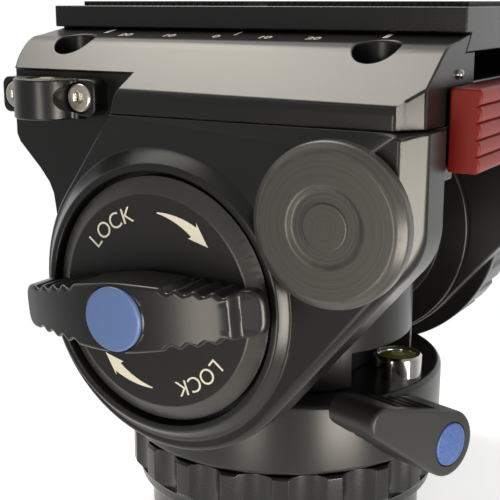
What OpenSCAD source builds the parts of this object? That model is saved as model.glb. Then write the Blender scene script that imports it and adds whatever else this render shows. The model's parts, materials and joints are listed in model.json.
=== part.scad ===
/* [Base] */
// Radius of the base plate
base_r = 31; // [28:0.5:33]
// Thickness of the base plate
base_h = 8; // [6:0.5:12]
// Radius of the collar that carries the pan drag ring
collar_r = 24; // [23:0.5:27]
// Wall radius of the 3/8 inch tripod thread
tripod_thread_r = 3.97; // [3:0.01:5]
// Depth of the tripod thread
tripod_thread_depth = 13; // [8:0.5:16]

/* [Pan drag ring] */
// How far the fluted ring's top stands out past the pan housing
ring_proud = 0.2; // [0:0.1:2]
// Height of the fluted ring
ring_h = 11.6; // [9:0.2:15]
// How much the ring narrows towards its lower edge
ring_taper = 1.8; // [0:0.1:3]
// Number of flutes round the ring
flute_count = 20; // [12:1:30]
// Radius of one flute
flute_r = 5.6; // [3:0.1:8]
// Depth of one flute
flute_depth = 1.8; // [0.5:0.1:2.5]
// Height of the plain rim under the flutes
flute_rim_h = 3.2; // [1:0.1:5]

/* [Pan housing] */
// Outer radius of the pan housing
housing_r = 35.2; // [33:0.1:36.2]
// Height of the pan housing
housing_h = 15.2; // [14:0.1:18]
// Radius of the pedestal on the housing
pedestal_r = 28.4; // [26:0.1:30]
// Radius of the brake drum on the pan spindle
brake_drum_r = 16; // [14:0.5:18]
// Radius of the pan spindle's journal
journal_r = 9; // [7:0.5:10]
// Outer radius of the pan bearing
pan_bearing_r = 14; // [12:0.5:16]

/* [Pan lock lever] */
// Direction of the lever's shaft round the pan axis
lever_dir = -108; // [-120:1:-90]
// Gap between the housing and the back of the lever
lever_gap = 1.2; // [0.8:0.1:3]
// Depth of the lever along its shaft
lever_depth = 11.4; // [8:0.1:14]
// Radius of the lever's hub
lever_hub_r = 6.8; // [6:0.1:8]
// Radius of the lever's tip
lever_tip_r = 3; // [2.5:0.1:4.5]
// Distance from the hub's centre to the tip's centre
lever_reach = 22.7; // [16:0.1:23]
// Rise of the lever's arm at rest
lever_rise = 25.4; // [0:0.1:40]
// Radius of the lever's cap
lever_cap_r = 4.4; // [3:0.1:5]
// Depth of the plain lip in front of the finger notches
lever_lip = 1.8; // [1:0.1:4]

/* [Base level] */
// Radius of the level's metal ring
base_level_r = 5.2; // [4.8:0.1:6]
// Height of the level above the housing
base_level_h = 4.8; // [4:0.1:7]
// Radius of the base level's vial
base_vial_r = 4.5; // [3:0.1:4.6]
// How deep the level is set into the pedestal
level_sink = 5.2; // [0:0.1:6]
// Free height above the level
level_room = 2.6; // [1:0.1:5]

/* [Tilt barrel] */
// Height of the tilt axis above the underside of the base
tilt_z = 59.6; // [58:0.1:64]
// Radius of the tilt barrel
barrel_r = 23; // [22:0.1:23.6]
// Half length of the tilt barrel
barrel_half = 37.6; // [34:0.1:37.8]
// Radius of the barrel's spring chamber
chamber_r = 19; // [17:0.5:20]
// Radius of the tilt axle
axle_r = 6; // [5:0.1:8]
// Outer radius of the tilt bushes
bush_r = 10; // [9:0.1:12]

/* [Cheeks] */
// Gap between the barrel's end and a cheek
cheek_gap = 0.6; // [0.3:0.1:2]
// Thickness of the recessed web of a cheek
web_t = 2.8; // [2:0.1:4]
// Radius of the round lower end of the cheeks
cheek_r = 30.3; // [28:0.1:31]
// Radius of the rear corner of the cheeks
cheek_corner_r = 13; // [10:0.1:15]
// Rearmost point of the cheeks
cheek_rear = 50.5; // [48:0.1:53]
// Radius of the upright rear edge of the near cheek
cheek_edge_r = 4.4; // [2:0.1:6]
// Height of the rear corner's centre above the tilt axis
cheek_corner_h = 17.6; // [14:0.1:20]
// Front end of the cheek's top edge
cheek_front = 12.9; // [8:0.1:16]
// Front end of the recessed web
web_front = 41.2; // [38:0.1:43]
// Thickness of the near cheek at its front edge
cheek_t_front = 8.7; // [8:0.1:9.8]
// Thickness of the near cheek at its rear edge
cheek_t_rear = 11.7; // [10.2:0.1:12.8]
// Thickness of the far cheek
far_cheek_t = 7.8; // [5.8:0.1:9.8]
// Radius of the bezel's lip round the knob
bezel_lip_r = 25.7; // [25.6:0.1:27]
// Height of the bezel's lip above the inside of the cheek
bezel_h = 12.4; // [12:0.1:13.8]

/* [Lock knob] */
// Radius of the knob's flat face
knob_face_r = 20.3; // [18:0.1:21]
// Radius of the knob's disc
knob_r = 23.3; // [21.5:0.1:24]
// Thickness of the knob's disc
knob_t = 4.4; // [3:0.1:6]
// Bevel depth on the knob's disc
knob_bevel = 1.8; // [0.5:0.1:2.5]
// Gap between the disc and the bezel
knob_gap = 0.9; // [0.5:0.1:1.5]
// Half length of the wing grip
wing_half = 25.6; // [20:0.1:25.7]
// Half height of the wing grip at its middle
wing_mid = 6.4; // [6.2:0.1:8]
// Half height of the wing grip at its tips
wing_tip = 4.2; // [3:0.1:5]
// How far the wing stands out from the disc at its middle
wing_out = 12.4; // [10:0.1:15]
// How far the wing stands out from the disc at its tips
wing_tip_out = 6.3; // [5:0.1:9]
// Turn of the wing grip at rest
wing_turn = -5.6; // [-20:0.1:20]
// Radius of the knob's cap
knob_cap_r = 5.85; // [4:0.05:6]

/* [Boss cap] */
// Radius of the boss cap
boss_r = 14.2; // [12:0.1:14.4]
// Distance from the tilt axis back to the boss cap
boss_back = 35.9; // [35:0.1:37]
// Height of the boss cap above the tilt axis
boss_up = 18.3; // [17:0.1:20]
// Height of the boss cap's face above the inside of the cheek
boss_h = 15.8; // [14.4:0.1:17.8]

/* [Platform] */
// Height of the platform's underside above the tilt axis
platform_rise = 33.6; // [33:0.1:36]
// How far the platform reaches out past the inside of a cheek
platform_over = 8.5; // [7.2:0.1:8.6]
// Front end of the platform
platform_front = 43; // [42:0.1:46]
// Rear end of the platform
platform_rear = 48.5; // [47:0.1:50]
// Plan radius of the front corners
front_corner_r = 13; // [8:0.5:16]
// Plan radius of the rear corners
rear_corner_r = 4; // [2:0.5:8]
// Height of the platform's upright flank
flank_h = 4; // [3:0.1:5]
// Height from the underside to the outer edge of the rails
rail_h = 13.8; // [13:0.1:16]
// Half width across the rails' outer edges
rail_half = 30.5; // [30:0.1:32]
// Rise of the rail's face towards the plate
rail_rise = 1.3; // [0.5:0.1:2]
// Half width at the top of the sloping shoulder
shoulder_half = 35.8; // [34.5:0.1:37]
// Height of the top of the sloping shoulder
shoulder_h = 11.9; // [10:0.1:12.6]
// Height of the channel's floor
channel_floor_h = 6.8; // [5.5:0.1:8]
// Height of the ceiling of the level's notch
notch_h = 7.4; // [7:0.1:9]

/* [Camera plate] */
// Width of the camera plate
plate_w = 50; // [46:0.5:52]
// Length of the camera plate
plate_l = 92; // [80:0.5:110]
// Middle of the plate along the platform
plate_mid = -2.5; // [-8:0.5:8]
// Thickness of the plate's upper slab
slab_t = 4.4; // [2.5:0.1:5]
// Depth of the plate's dovetail
dovetail_h = 3.2; // [2.5:0.1:3.6]
// Undercut of the dovetail
dovetail_cut = 2.6; // [1.5:0.1:3]
// Width of the border left beside the pads
pad_border = 5.6; // [3:0.1:8]
// Length of the plate left bare in front of the front pad
pad_end = 3.6; // [2:0.1:8]
// Thickness of the pads
pad_t = 0.9; // [0.5:0.1:2]
// Gap between the two pads
pad_gap = 4.7; // [3:0.1:30]
// Middle of the gap between the pads
pad_gap_mid = -3.5; // [-12:0.5:8]

/* [Level bracket] */
// Middle of the bracket along the platform
bracket_mid = 29.2; // [27:0.1:31]
// Distance between the bracket's screws
bracket_pitch = 15.9; // [14.5:0.1:18]
// Half length of the bracket
bracket_half = 11.6; // [11:0.1:12.5]
// Height of the bracket
bracket_h = 7.1; // [6:0.1:7.4]
// Thickness of the bracket's ears
bracket_t = 4; // [3:0.1:5]
// Radius of the bracket's round boss
bracket_boss_r = 6.5; // [5.5:0.1:7]
// Radius of the level vials
vial_r = 4; // [3:0.1:4.2]

/* [Release lever] */
// Near end of the release lever
release_near = -34.3; // [-36:0.1:-24]
// Place of the release lever's pin
release_pin_x = 12; // [8:0.5:16]
// Height of the release lever
release_h = 14.4; // [12:0.1:16]
// Thickness of the release lever
release_t = 5.7; // [5:0.1:8]
// Distance of the lever's lower edge below the platform's underside
release_drop = 7.8; // [6:0.1:9]
// Number of grip ridges on the release lever
release_ridges = 5; // [3:1:8]

/* [Drag dial] */
// Radius of the tilt drag dial
dial_r = 34; // [30:0.1:36]
// Length of the tilt drag dial
dial_l = 14.9; // [10:0.1:20]
// Number of grip grooves on the dial
dial_grooves = 30; // [18:1:36]

/* [Hidden] */
$fn = 96;
fit = 0.05;
clear = 0.4;
eps = 0.01;
blend = 0.03;

ring_r = housing_r + ring_proud;
ring_z = base_h + clear;
ring_top = ring_z + ring_h;
housing_z = ring_top + clear;
housing_top = housing_z + housing_h;
collar_top = ring_top - clear;

cavity_r = brake_drum_r + 6.4;
bearing_h = 4;
bearing_top = housing_top - clear;
bearing_z = bearing_top - bearing_h;
drum_top = bearing_z - clear;
spindle_neck_r = brake_drum_r - 4;
spindle_flange_r = brake_drum_r + 2;
spindle_flange_h = 2;
spindle_thread_r = journal_r - 1.5;
nut_h = 3;
nut_r = pan_bearing_r - 2;
nut_room_h = nut_h + 1.4;
damper_t = 1.6;
damper_gap = 0.5;
damper_z = collar_top + spindle_flange_h + 0.9;
drum_z = damper_z + damper_t + damper_gap;
drum_h = drum_top - drum_z;
lever_z = drum_z + drum_h / 2;
stud_r = 2.5;
shoe_depth = cavity_r - brake_drum_r - 2 * fit;
shoe_half = 4.4;
seal_r = 0.9;
housing_chamfer = 0.8;
foot_chamfer = 0.6;
seal_mid_r = (cavity_r + housing_r) / 2 + 2.4;
housing_screw_mid = (cavity_r + pedestal_r) / 2;

lever_back = housing_r + lever_gap;
lever_face = lever_back + lever_depth;
notch_r = 1.5;
notch_deep = 0.7;
notch_pitch = 3.2;

level_mid_r = pedestal_r + base_level_r - level_sink;
level_dir = -94;
recess_depth = level_sink + base_level_r - 2;
recess_left = base_level_r + 8.4;
recess_right = base_level_r + 4.8;
housing_gap = 0.3;
barrel_flange_t = 2;
barrel_flange_r = cheek_r - 0.6;

cheek_in = barrel_half + cheek_gap;
web_out = cheek_in + web_t;
cheek_face_front = cheek_in + cheek_t_front;
cheek_face_rear = cheek_in + cheek_t_rear;
far_cheek_out = cheek_in + far_cheek_t;
bezel_face = cheek_in + bezel_h;
boss_face = cheek_in + boss_h;
platform_half = cheek_in + platform_over;

seam_z = tilt_z + platform_rise;
rail_z = seam_z + rail_h;
rail_top = rail_z + rail_rise;
shoulder_z = seam_z + shoulder_h;
flank_z = seam_z + flank_h;
channel_floor = seam_z + channel_floor_h;
notch_top = seam_z + notch_h;
slab_gap = 0.2;
slab_z = rail_top + slab_gap;
plate_top = slab_z + slab_t;
dovetail_z = rail_top - dovetail_h;
neck_half = plate_w / 2 - dovetail_cut;
ledge_half = plate_w / 2 - 5;
plate_front = plate_mid + plate_l / 2;
plate_rear = plate_mid - plate_l / 2;

bore_r = knob_r + knob_gap;
disc_face = bezel_face + 0.7;
disc_back = disc_face - knob_t;
seat_x = disc_back - clear;
wing_face = disc_face + wing_out;
wing_back = disc_face + 2;
tip_face = disc_face + wing_tip_out;
wing_sag = wing_face - tip_face;
wing_curve_r = (wing_half * wing_half + wing_sag * wing_sag) / (2 * wing_sag);
tip_mid = wing_half - wing_tip + 1;
knob_stud_r = 4;
axle_near = seat_x - clear;
axle_far = far_cheek_out + 6;
boss_y = -boss_back;
boss_z = tilt_z + boss_up;
boss_pin_r = 4;

m3_r = 1.5;
m3_head_r = 2.75;
m3_head_h = 3;
m4_r = 2;
m4_head_r = 3.5;
m4_head_h = 4;
platform_screw_x = 33.6;
platform_screw_front = 31;
platform_screw_rear = -35.5;
platform_screw_room_r = 4.2;
platform_screw_seat = seam_z + 3.4;
flange_in = platform_screw_x - 3.2;
flange_drop = 9.4;
platform_screw_l = 9;

bracket_out = web_out + bracket_t;
bracket_z = notch_top - 1.3 - bracket_h;
bracket_screw_z = bracket_z + bracket_h / 2;
bracket_head_seat = bracket_out - 2.6;

release_z = seam_z - release_drop;
release_front = platform_rear + 0.7;
release_rear = release_front + release_t;
release_pin_r = 2;
release_pin_y = -(release_front + release_rear) / 2;
release_lug_r = 3;
lug_t = 3;
post_x = release_pin_x + release_lug_r + 2.2;
post_w = 4.5;

dial_x = max(far_cheek_out, platform_half) + clear;
dial_out = dial_x + dial_l;
dial_cap_r = 16;

camera_screw_r = 3.175;
camera_screw_head_r = 7;
camera_screw_y = plate_mid;
camera_slot_half = 12;
screw_lift = 5;
screw_room = 3.4;
screw_gap = 1;
screw_tip = slab_z + slab_t - 0.4;
screw_head_h = 2;
screw_head_top = dovetail_z + screw_room - screw_lift - 0.9 - 2 * fit;
latch_r = 2;
latch_x = 0;
latch_y = plate_rear + 14;

// Outline in Y and Z, drawn out along X
module along_x(x0, x1) {
    translate([x0, 0, 0])
        rotate([90, 0, 90])
            linear_extrude(height = x1 - x0)
                children();
}

// Outline in X and Z, drawn out along Y
module along_y(y0, y1) {
    translate([0, y1, 0])
        rotate([90, 0, 0])
            linear_extrude(height = y1 - y0)
                children();
}

// Round bar along X on the tilt axis
module tilt_rod(x0, x1, r) {
    translate([x0, 0, tilt_z])
        rotate([0, 90, 0])
            cylinder(h = x1 - x0, r = r);
}

// Tapered bar along X on the tilt axis
module tilt_cone(x0, x1, r0, r1) {
    translate([x0, 0, tilt_z])
        rotate([0, 90, 0])
            cylinder(h = x1 - x0, r1 = r0, r2 = r1);
}

// Straight web between two circles, up to the lines that touch both
module tangent_web(c1, r1, c2, r2) {
    d = c2 - c1;
    a = atan2(d[1], d[0]);
    b = acos((r1 - r2) / norm(d));
    up = [cos(a + b), sin(a + b)];
    down = [cos(a - b), sin(a - b)];
    s1 = r1 - blend;
    s2 = r2 - blend;
    polygon([c1 + s1 * up, c2 + s2 * up, c2 + s2 * down, c1 + s1 * down]);
}

// Two circles and the band between their outer tangents
module tangent_pair(c1, r1, c2, r2) {
    translate(c1) circle(r1);
    translate(c2) circle(r2);
    tangent_web(c1, r1, c2, r2);
}

// Frame of the pan lever: X runs out along its shaft, Y to its right, Z up
module lever_frame(turn = 0) {
    translate([0, 0, lever_z])
        rotate([0, 0, lever_dir])
            rotate([turn, 0, 0])
                children();
}

// Socket head screw, head upwards, seat of the head at the origin
module socket_screw(r, head_r, head_h, length) {
    difference() {
        union() {
            cylinder(h = head_h - 0.3, r = head_r);
            translate([0, 0, head_h - 0.3])
                cylinder(h = 0.3, r1 = head_r, r2 = head_r - 0.3);
            translate([0, 0, -length])
                cylinder(h = length + eps, r = r);
        }
        translate([0, 0, head_h * 0.45])
            cylinder(h = head_h, r = r * 0.96, $fn = 6);
    }
}

// Places of the four platform screws
module at_platform_screws() {
    for (side = [-1, 1]) {
        for (y = [platform_screw_front, platform_screw_rear]) {
            translate([side * platform_screw_x, y, platform_screw_seat])
                children();
        }
    }
}

// Places of the four housing screws
module at_housing_screws() {
    for (i = [0:3]) {
        rotate([0, 0, 45 + 90 * i])
            translate([housing_screw_mid, 0, 0])
                children();
    }
}

// Places of the four spindle screws
module at_spindle_screws() {
    for (i = [0:3]) {
        rotate([0, 0, 90 * i])
            translate([(spindle_neck_r + spindle_flange_r) / 2, 0, collar_top + spindle_flange_h])
                children();
    }
}

// Places of the two bracket screws, pointing out of the near side
module at_bracket_screws() {
    for (side = [-1, 1]) {
        translate([-bracket_head_seat, bracket_mid + side * bracket_pitch / 2, bracket_screw_z])
            rotate([0, -90, 0])
                children();
    }
}

module base_plate() {
    color("#2b2b2c")
        difference() {
            union() {
                translate([0, 0, 1])
                    cylinder(h = base_h - 1, r = base_r);
                cylinder(h = 1 + eps, r1 = base_r - 1, r2 = base_r);
                cylinder(h = collar_top, r = collar_r);
            }
            translate([0, 0, -eps])
                cylinder(h = tripod_thread_depth, r = tripod_thread_r);
            at_spindle_screws()
                translate([0, 0, -5.4])
                    cylinder(h = 6, r = 1.25);
        }
}

module pan_spindle() {
    color("#8d8f92")
        difference() {
            union() {
                translate([0, 0, collar_top])
                    cylinder(h = spindle_flange_h, r = spindle_flange_r);
                translate([0, 0, collar_top])
                    cylinder(h = drum_z - collar_top + eps, r = spindle_neck_r);
                translate([0, 0, drum_z])
                    cylinder(h = drum_h, r = brake_drum_r);
                translate([0, 0, drum_top - eps])
                    cylinder(h = bearing_top - drum_top, r = journal_r);
                translate([0, 0, bearing_top - 1])
                    cylinder(h = nut_h + 1.6, r = spindle_thread_r);
            }
            at_spindle_screws()
                translate([0, 0, -spindle_flange_h - eps])
                    cylinder(h = spindle_flange_h + 1, r = 1.35);
        }
}

module spindle_screws() {
    color("#b9bcc0")
        at_spindle_screws()
            translate([0, 0, -5])
                cylinder(h = 5.8, r = 1.25);
}

module spindle_nut() {
    color("#a8abae")
        translate([0, 0, bearing_top])
            difference() {
                cylinder(h = nut_h, r = nut_r, $fn = 6);
                translate([0, 0, -eps])
                    cylinder(h = nut_h + 1, r = spindle_thread_r);
            }
}

module pan_damper_disc() {
    color("#c3a24a")
        translate([0, 0, damper_z])
            difference() {
                cylinder(h = damper_t, r = min(cavity_r, housing_screw_mid - m4_head_r) - clear);
                translate([0, 0, -eps])
                    cylinder(h = damper_t + 1, r = spindle_neck_r);
            }
}

module pan_drag_ring() {
    color("#262627")
        difference() {
            translate([0, 0, ring_z])
                rotate_extrude()
                    polygon([
                        [collar_r + fit, 0],
                        [ring_r - ring_taper - 0.6, 0],
                        [ring_r - ring_taper, 0.6],
                        [ring_r - ring_taper + 0.2, flute_rim_h - 0.6],
                        [ring_r, flute_rim_h + 1],
                        [ring_r, ring_h - 0.5],
                        [ring_r - 0.5, ring_h],
                        [collar_r + fit, ring_h]
                    ]);
            for (i = [0:flute_count - 1]) {
                rotate([0, 0, 360 * i / flute_count])
                    translate([ring_r + flute_r - flute_depth, 0, ring_z + flute_rim_h])
                        cylinder(h = ring_h, r = flute_r);
            }
        }
}

// Section of the pan housing, from its bore out to its wall
module housing_section() {
    polygon([
        [pan_bearing_r, bearing_z],
        [pan_bearing_r, housing_top],
        [housing_r - housing_chamfer, housing_top],
        [housing_r, housing_top - housing_chamfer],
        [housing_r, housing_z + foot_chamfer],
        [housing_r - foot_chamfer, housing_z],
        [seal_mid_r + seal_r, housing_z],
        [seal_mid_r + seal_r, housing_z + seal_r],
        [seal_mid_r - seal_r, housing_z + seal_r],
        [seal_mid_r - seal_r, housing_z],
        [cavity_r, housing_z],
        [cavity_r, bearing_z]
    ]);
}

module pan_housing() {
    color("#343436")
        difference() {
            rotate_extrude()
                housing_section();
            at_housing_screws()
                translate([0, 0, housing_z - 1])
                    cylinder(h = housing_h + 2, r = m4_r);
            at_housing_screws()
                translate([0, 0, housing_z - 1])
                    cylinder(h = m4_head_h + 2, r = m4_head_r + 0.3);
            lever_frame()
                translate([cavity_r - 1, 0, 0])
                    rotate([0, 90, 0])
                        cylinder(h = housing_r, r = stud_r + fit);
        }
}

// Flanges at the ends of the barrel, clear of the pan housing
module barrel_flanges() {
    difference() {
        union() {
            tilt_rod(-barrel_half, -barrel_half + barrel_flange_t, barrel_flange_r);
            tilt_rod(barrel_half - barrel_flange_t, barrel_half, barrel_flange_r);
        }
        cylinder(h = housing_top, r = housing_r + housing_gap);
    }
}

module pedestal() {
    color("#303031")
        difference() {
            union() {
                translate([0, 0, housing_top])
                    cylinder(h = tilt_z - housing_top, r = pedestal_r);
                tilt_rod(-barrel_half, barrel_half, barrel_r);
                barrel_flanges();
            }
            translate([0, 0, housing_top - 1])
                cylinder(h = nut_room_h + 1, r = nut_r + 0.8);
            tilt_rod(-barrel_half + 14, barrel_half + 1, chamber_r);
            tilt_rod(-barrel_half - 1, barrel_half, bush_r);
            at_housing_screws()
                translate([0, 0, housing_top - 1])
                    cylinder(h = 7, r = m4_r);
            rotate([0, 0, level_dir])
                translate([pedestal_r - recess_depth, -recess_left, housing_top - 1])
                    cube([2 * recess_depth, recess_left + recess_right, base_level_h + level_room + 1]);
        }
}

module housing_screws() {
    color("#b9bcc0")
        at_housing_screws()
            translate([0, 0, housing_z + m4_head_h + 1])
                mirror([0, 0, 1])
                    socket_screw(m4_r - 0.02, m4_head_r, m4_head_h, housing_h - m4_head_h + 4);
}

module pan_bearing() {
    color("#c4c7ca")
        translate([0, 0, bearing_z])
            difference() {
                cylinder(h = bearing_h - 0.2, r = pan_bearing_r);
                translate([0, 0, -eps])
                    cylinder(h = bearing_h + 1, r = journal_r + fit);
            }
}

module pan_seal() {
    color("#151515")
        translate([0, 0, housing_z])
            rotate_extrude()
                translate([seal_mid_r, 0])
                    intersection() {
                        circle(seal_r, $fn = 24);
                        translate([-seal_r, -clear / 2])
                            square([2 * seal_r, 2 * seal_r]);
                    }
}

module pan_brake_shoe() {
    color("#7a5a34")
        lever_frame()
            intersection() {
                difference() {
                    translate([0, -shoe_half, -drum_h / 2 + 0.4])
                        cube([cavity_r, 2 * shoe_half, drum_h - 0.8]);
                    translate([0, 0, -drum_h])
                        cylinder(h = 2 * drum_h, r = brake_drum_r + fit);
                }
                translate([0, 0, -drum_h])
                    cylinder(h = 2 * drum_h, r = cavity_r);
            }
}

module base_level_ring() {
    color("#c9cbcc")
        rotate([0, 0, level_dir])
            translate([level_mid_r, 0, housing_top])
                difference() {
                    union() {
                        cylinder(h = base_level_h - 0.5, r = base_level_r);
                        translate([0, 0, base_level_h - 0.5 - eps])
                            cylinder(h = 0.5, r1 = base_level_r, r2 = base_level_r - 0.4);
                    }
                    translate([0, 0, 1.6])
                        cylinder(h = base_level_h, r = base_vial_r);
                }
}

module base_level_vial() {
    color("#b9c23a")
        rotate([0, 0, level_dir])
            translate([level_mid_r, 0, housing_top + 1.6])
                cylinder(h = base_level_h - 1.8, r = base_vial_r);
}

module tilt_bushes() {
    color("#b08d3f")
        for (side = [-1, 1]) {
            difference() {
                tilt_rod(side < 0 ? -barrel_half : barrel_half - 10, side < 0 ? -barrel_half + 10 : barrel_half, bush_r);
                tilt_rod(-barrel_half - 1, barrel_half + 1, axle_r + fit);
            }
        }
}

module barrel_cap() {
    color("#4a4a4c")
        difference() {
            tilt_rod(barrel_half - 6, barrel_half, chamber_r);
            tilt_rod(barrel_half - 7, barrel_half + 1, bush_r);
        }
}

module counterbalance_spring() {
    color("#9b9ea2")
        difference() {
            tilt_rod(2, barrel_half - 10.4, chamber_r - 0.3);
            tilt_rod(1, barrel_half, chamber_r - 7);
        }
}

// Finger notches along both edges of the lever's arm
module lever_notches() {
    for (i = [0:3]) {
        y = -lever_hub_r - 0.6 - notch_pitch * i;
        edge = lever_hub_r + (lever_tip_r - lever_hub_r) * (-y / lever_reach);
        for (side = [-1, 1]) {
            translate([y, side * (edge + notch_r - notch_deep)])
                circle(notch_r, $fn = 32);
        }
    }
}

module pan_lever() {
    tip = [-lever_reach, 0];
    color("#2c2c2d")
        lever_frame(-lever_rise)
            difference() {
                union() {
                    along_x(lever_back, lever_face)
                        circle(lever_hub_r);
                    along_x(lever_back, lever_face)
                        tangent_web([0, 0], lever_hub_r, tip, lever_tip_r);
                    along_x(lever_back, lever_face)
                        translate(tip)
                            circle(lever_tip_r);
                }
                along_x(lever_back - 1, lever_face - lever_lip)
                    lever_notches();
                translate([lever_face - 1.6, 0, 0])
                    rotate([0, 90, 0])
                        cylinder(h = 3, r = lever_cap_r);
                translate([lever_back - 1, 0, 0])
                    rotate([0, 90, 0])
                        cylinder(h = lever_depth + 2, r = stud_r);
            }
}

module pan_lever_stud() {
    color("#a6a9ac")
        lever_frame()
            translate([cavity_r + clear, 0, 0])
                rotate([0, 90, 0])
                    cylinder(h = lever_face - 1.6 - cavity_r - clear, r = stud_r);
}

module pan_lever_cap() {
    color("#4f74bd")
        lever_frame()
            translate([lever_face - 1.6, 0, 0])
                rotate([0, 90, 0]) {
                    cylinder(h = 1.6, r = lever_cap_r);
                    translate([0, 0, 1.6 - eps])
                        cylinder(h = 0.3, r1 = lever_cap_r, r2 = lever_cap_r - 0.3);
                }
}

// Half of the platform's cross section, from the middle outwards
module platform_half_section() {
    polygon([
        [0, seam_z],
        [platform_half, seam_z],
        [platform_half, flank_z],
        [shoulder_half, shoulder_z],
        [shoulder_half - 1.4, shoulder_z + 0.9],
        [shoulder_half - 3, rail_z - 0.3],
        [rail_half, rail_z],
        [neck_half + clear, rail_top],
        [plate_w / 2 + clear, dovetail_z],
        [plate_w / 2 + clear, dovetail_z - 0.1],
        [ledge_half, dovetail_z - 0.1],
        [ledge_half, channel_floor],
        [0, channel_floor]
    ]);
}

// Plan outline of the platform
module platform_plan() {
    front = platform_front - front_corner_r;
    rear = platform_rear - rear_corner_r;
    wide = platform_half - front_corner_r;
    translate([-platform_half, -rear])
        square([2 * platform_half, front + rear]);
    translate([-wide, front - eps])
        square([2 * wide, front_corner_r + eps]);
    translate([rear_corner_r - platform_half, -platform_rear])
        square([2 * (platform_half - rear_corner_r), rear_corner_r + eps]);
    for (side = [-1, 1]) {
        translate([side * wide, front])
            circle(front_corner_r);
        translate([side * (platform_half - rear_corner_r), -rear])
            circle(rear_corner_r);
    }
}

// Wedge in front of the cheek's sloping front edge, in Y and Z
module notch_outline() {
    slope = 0.27;
    polygon([
        [cheek_front - slope * notch_h, notch_top],
        [cheek_front + slope * 4, seam_z - 4],
        [web_front + 20, seam_z - 4],
        [web_front + 20, notch_top]
    ]);
}

module platform() {
    color("#38383a")
        difference() {
            union() {
                intersection() {
                    along_y(-platform_rear, platform_front) {
                        platform_half_section();
                        mirror([1, 0])
                            platform_half_section();
                    }
                    translate([0, 0, seam_z - 1])
                        linear_extrude(height = rail_h + 4)
                            platform_plan();
                }
                release_bracket();
            }
            along_x(-platform_half - 1, -web_out)
                notch_outline();
            at_platform_screws()
                cylinder(h = rail_h, r = platform_screw_room_r);
            at_platform_screws()
                translate([0, 0, -6])
                    cylinder(h = 8, r = m4_r + 0.1);
            at_bracket_screws()
                translate([0, 0, -9])
                    cylinder(h = 10, r = m3_r);
            translate([release_pin_x, release_pin_y, release_z - lug_t - 1])
                cylinder(h = release_h + 2 * lug_t + 4, r = release_pin_r);
            translate([latch_x, latch_y, seam_z - 1])
                cylinder(h = channel_floor_h + 2, r = latch_r + fit);
        }
}

// Bracket behind the platform that holds the release lever's pin
module release_bracket() {
    low = release_z - clear - lug_t;
    high = release_z + release_h + clear;
    translate([post_x, -release_rear, low])
        cube([post_w, release_rear - platform_rear + 1, high + lug_t - low]);
    translate([post_x, -platform_rear - eps, low])
        cube([post_w, 4, seam_z - low + 1]);
    for (z = [low, high]) {
        translate([release_pin_x, -release_rear, z])
            cube([post_x - release_pin_x + 1, release_t, lug_t]);
        translate([release_pin_x, release_pin_y, z])
            cylinder(h = lug_t, r = release_t / 2);
    }
}

// Cheek outline with its sloping front edge, in Y and Z
module cheek_outline() {
    axis = [0, tilt_z];
    corner = [cheek_corner_r - cheek_rear, tilt_z + cheek_corner_h];
    tangent_pair(axis, cheek_r, corner, cheek_corner_r);
    far = norm([cheek_front, platform_rise]);
    a = atan2(platform_rise, cheek_front) - acos(cheek_r / far);
    polygon([
        axis,
        axis + (cheek_r - blend) * [cos(a), sin(a)],
        [cheek_front, seam_z],
        [blend - cheek_rear, seam_z],
        [blend - cheek_rear, corner[1]],
        corner
    ]);
}

// Recessed web in front of the cheek, in Y and Z
module web_outline() {
    foot = tilt_z + 10;
    polygon([
        [0, seam_z],
        [web_front, seam_z],
        [web_front, seam_z - 6.4],
        [web_front - 0.6, seam_z - 7.6],
        [web_front - 3.2, seam_z - 10.2],
        [web_front - 5.7, seam_z - 12.7],
        [web_front - 7.9, seam_z - 15.4],
        [web_front - 8.9, seam_z - 17.6],
        [web_front - 9.3, seam_z - 20.1],
        [web_front - 9.7, foot],
        [0, foot]
    ]);
}

// Blocks inside a cheek that take the platform's screws
module cheek_flanges() {
    translate([-web_out, -cheek_rear + 1.6, seam_z - flange_drop])
        cube([web_out - flange_in, cheek_rear - 1.6 + platform_screw_rear + 6, flange_drop]);
    translate([-web_out, platform_screw_front - 5, seam_z - 6])
        cube([web_out - flange_in, 10, 6]);
}

// Plan of the near cheek: leaning outer face and rounded rear edge
module cheek_plan() {
    lean = atan2(cheek_face_rear - cheek_face_front, cheek_front + cheek_rear);
    along = [-sin(lean), -cos(lean)];
    out = [-cos(lean), sin(lean)];
    start = [-cheek_face_front, cheek_front];
    rear = cheek_rear + 0.2;
    mid_y = cheek_edge_r - rear;
    reach = (cheek_front - mid_y + cheek_edge_r * sin(lean)) / cos(lean);
    mid = start + reach * along - cheek_edge_r * out;
    turn = 90 + lean;
    edge = [for (i = [0:10]) mid + cheek_edge_r * [-cos(i * turn / 10 - lean), -sin(i * turn / 10 - lean)]];
    polygon(concat(
        [start - 2 * cheek_rear * along],
        edge,
        [[0, -rear], [0, 2 * cheek_rear]]
    ));
}

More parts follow.
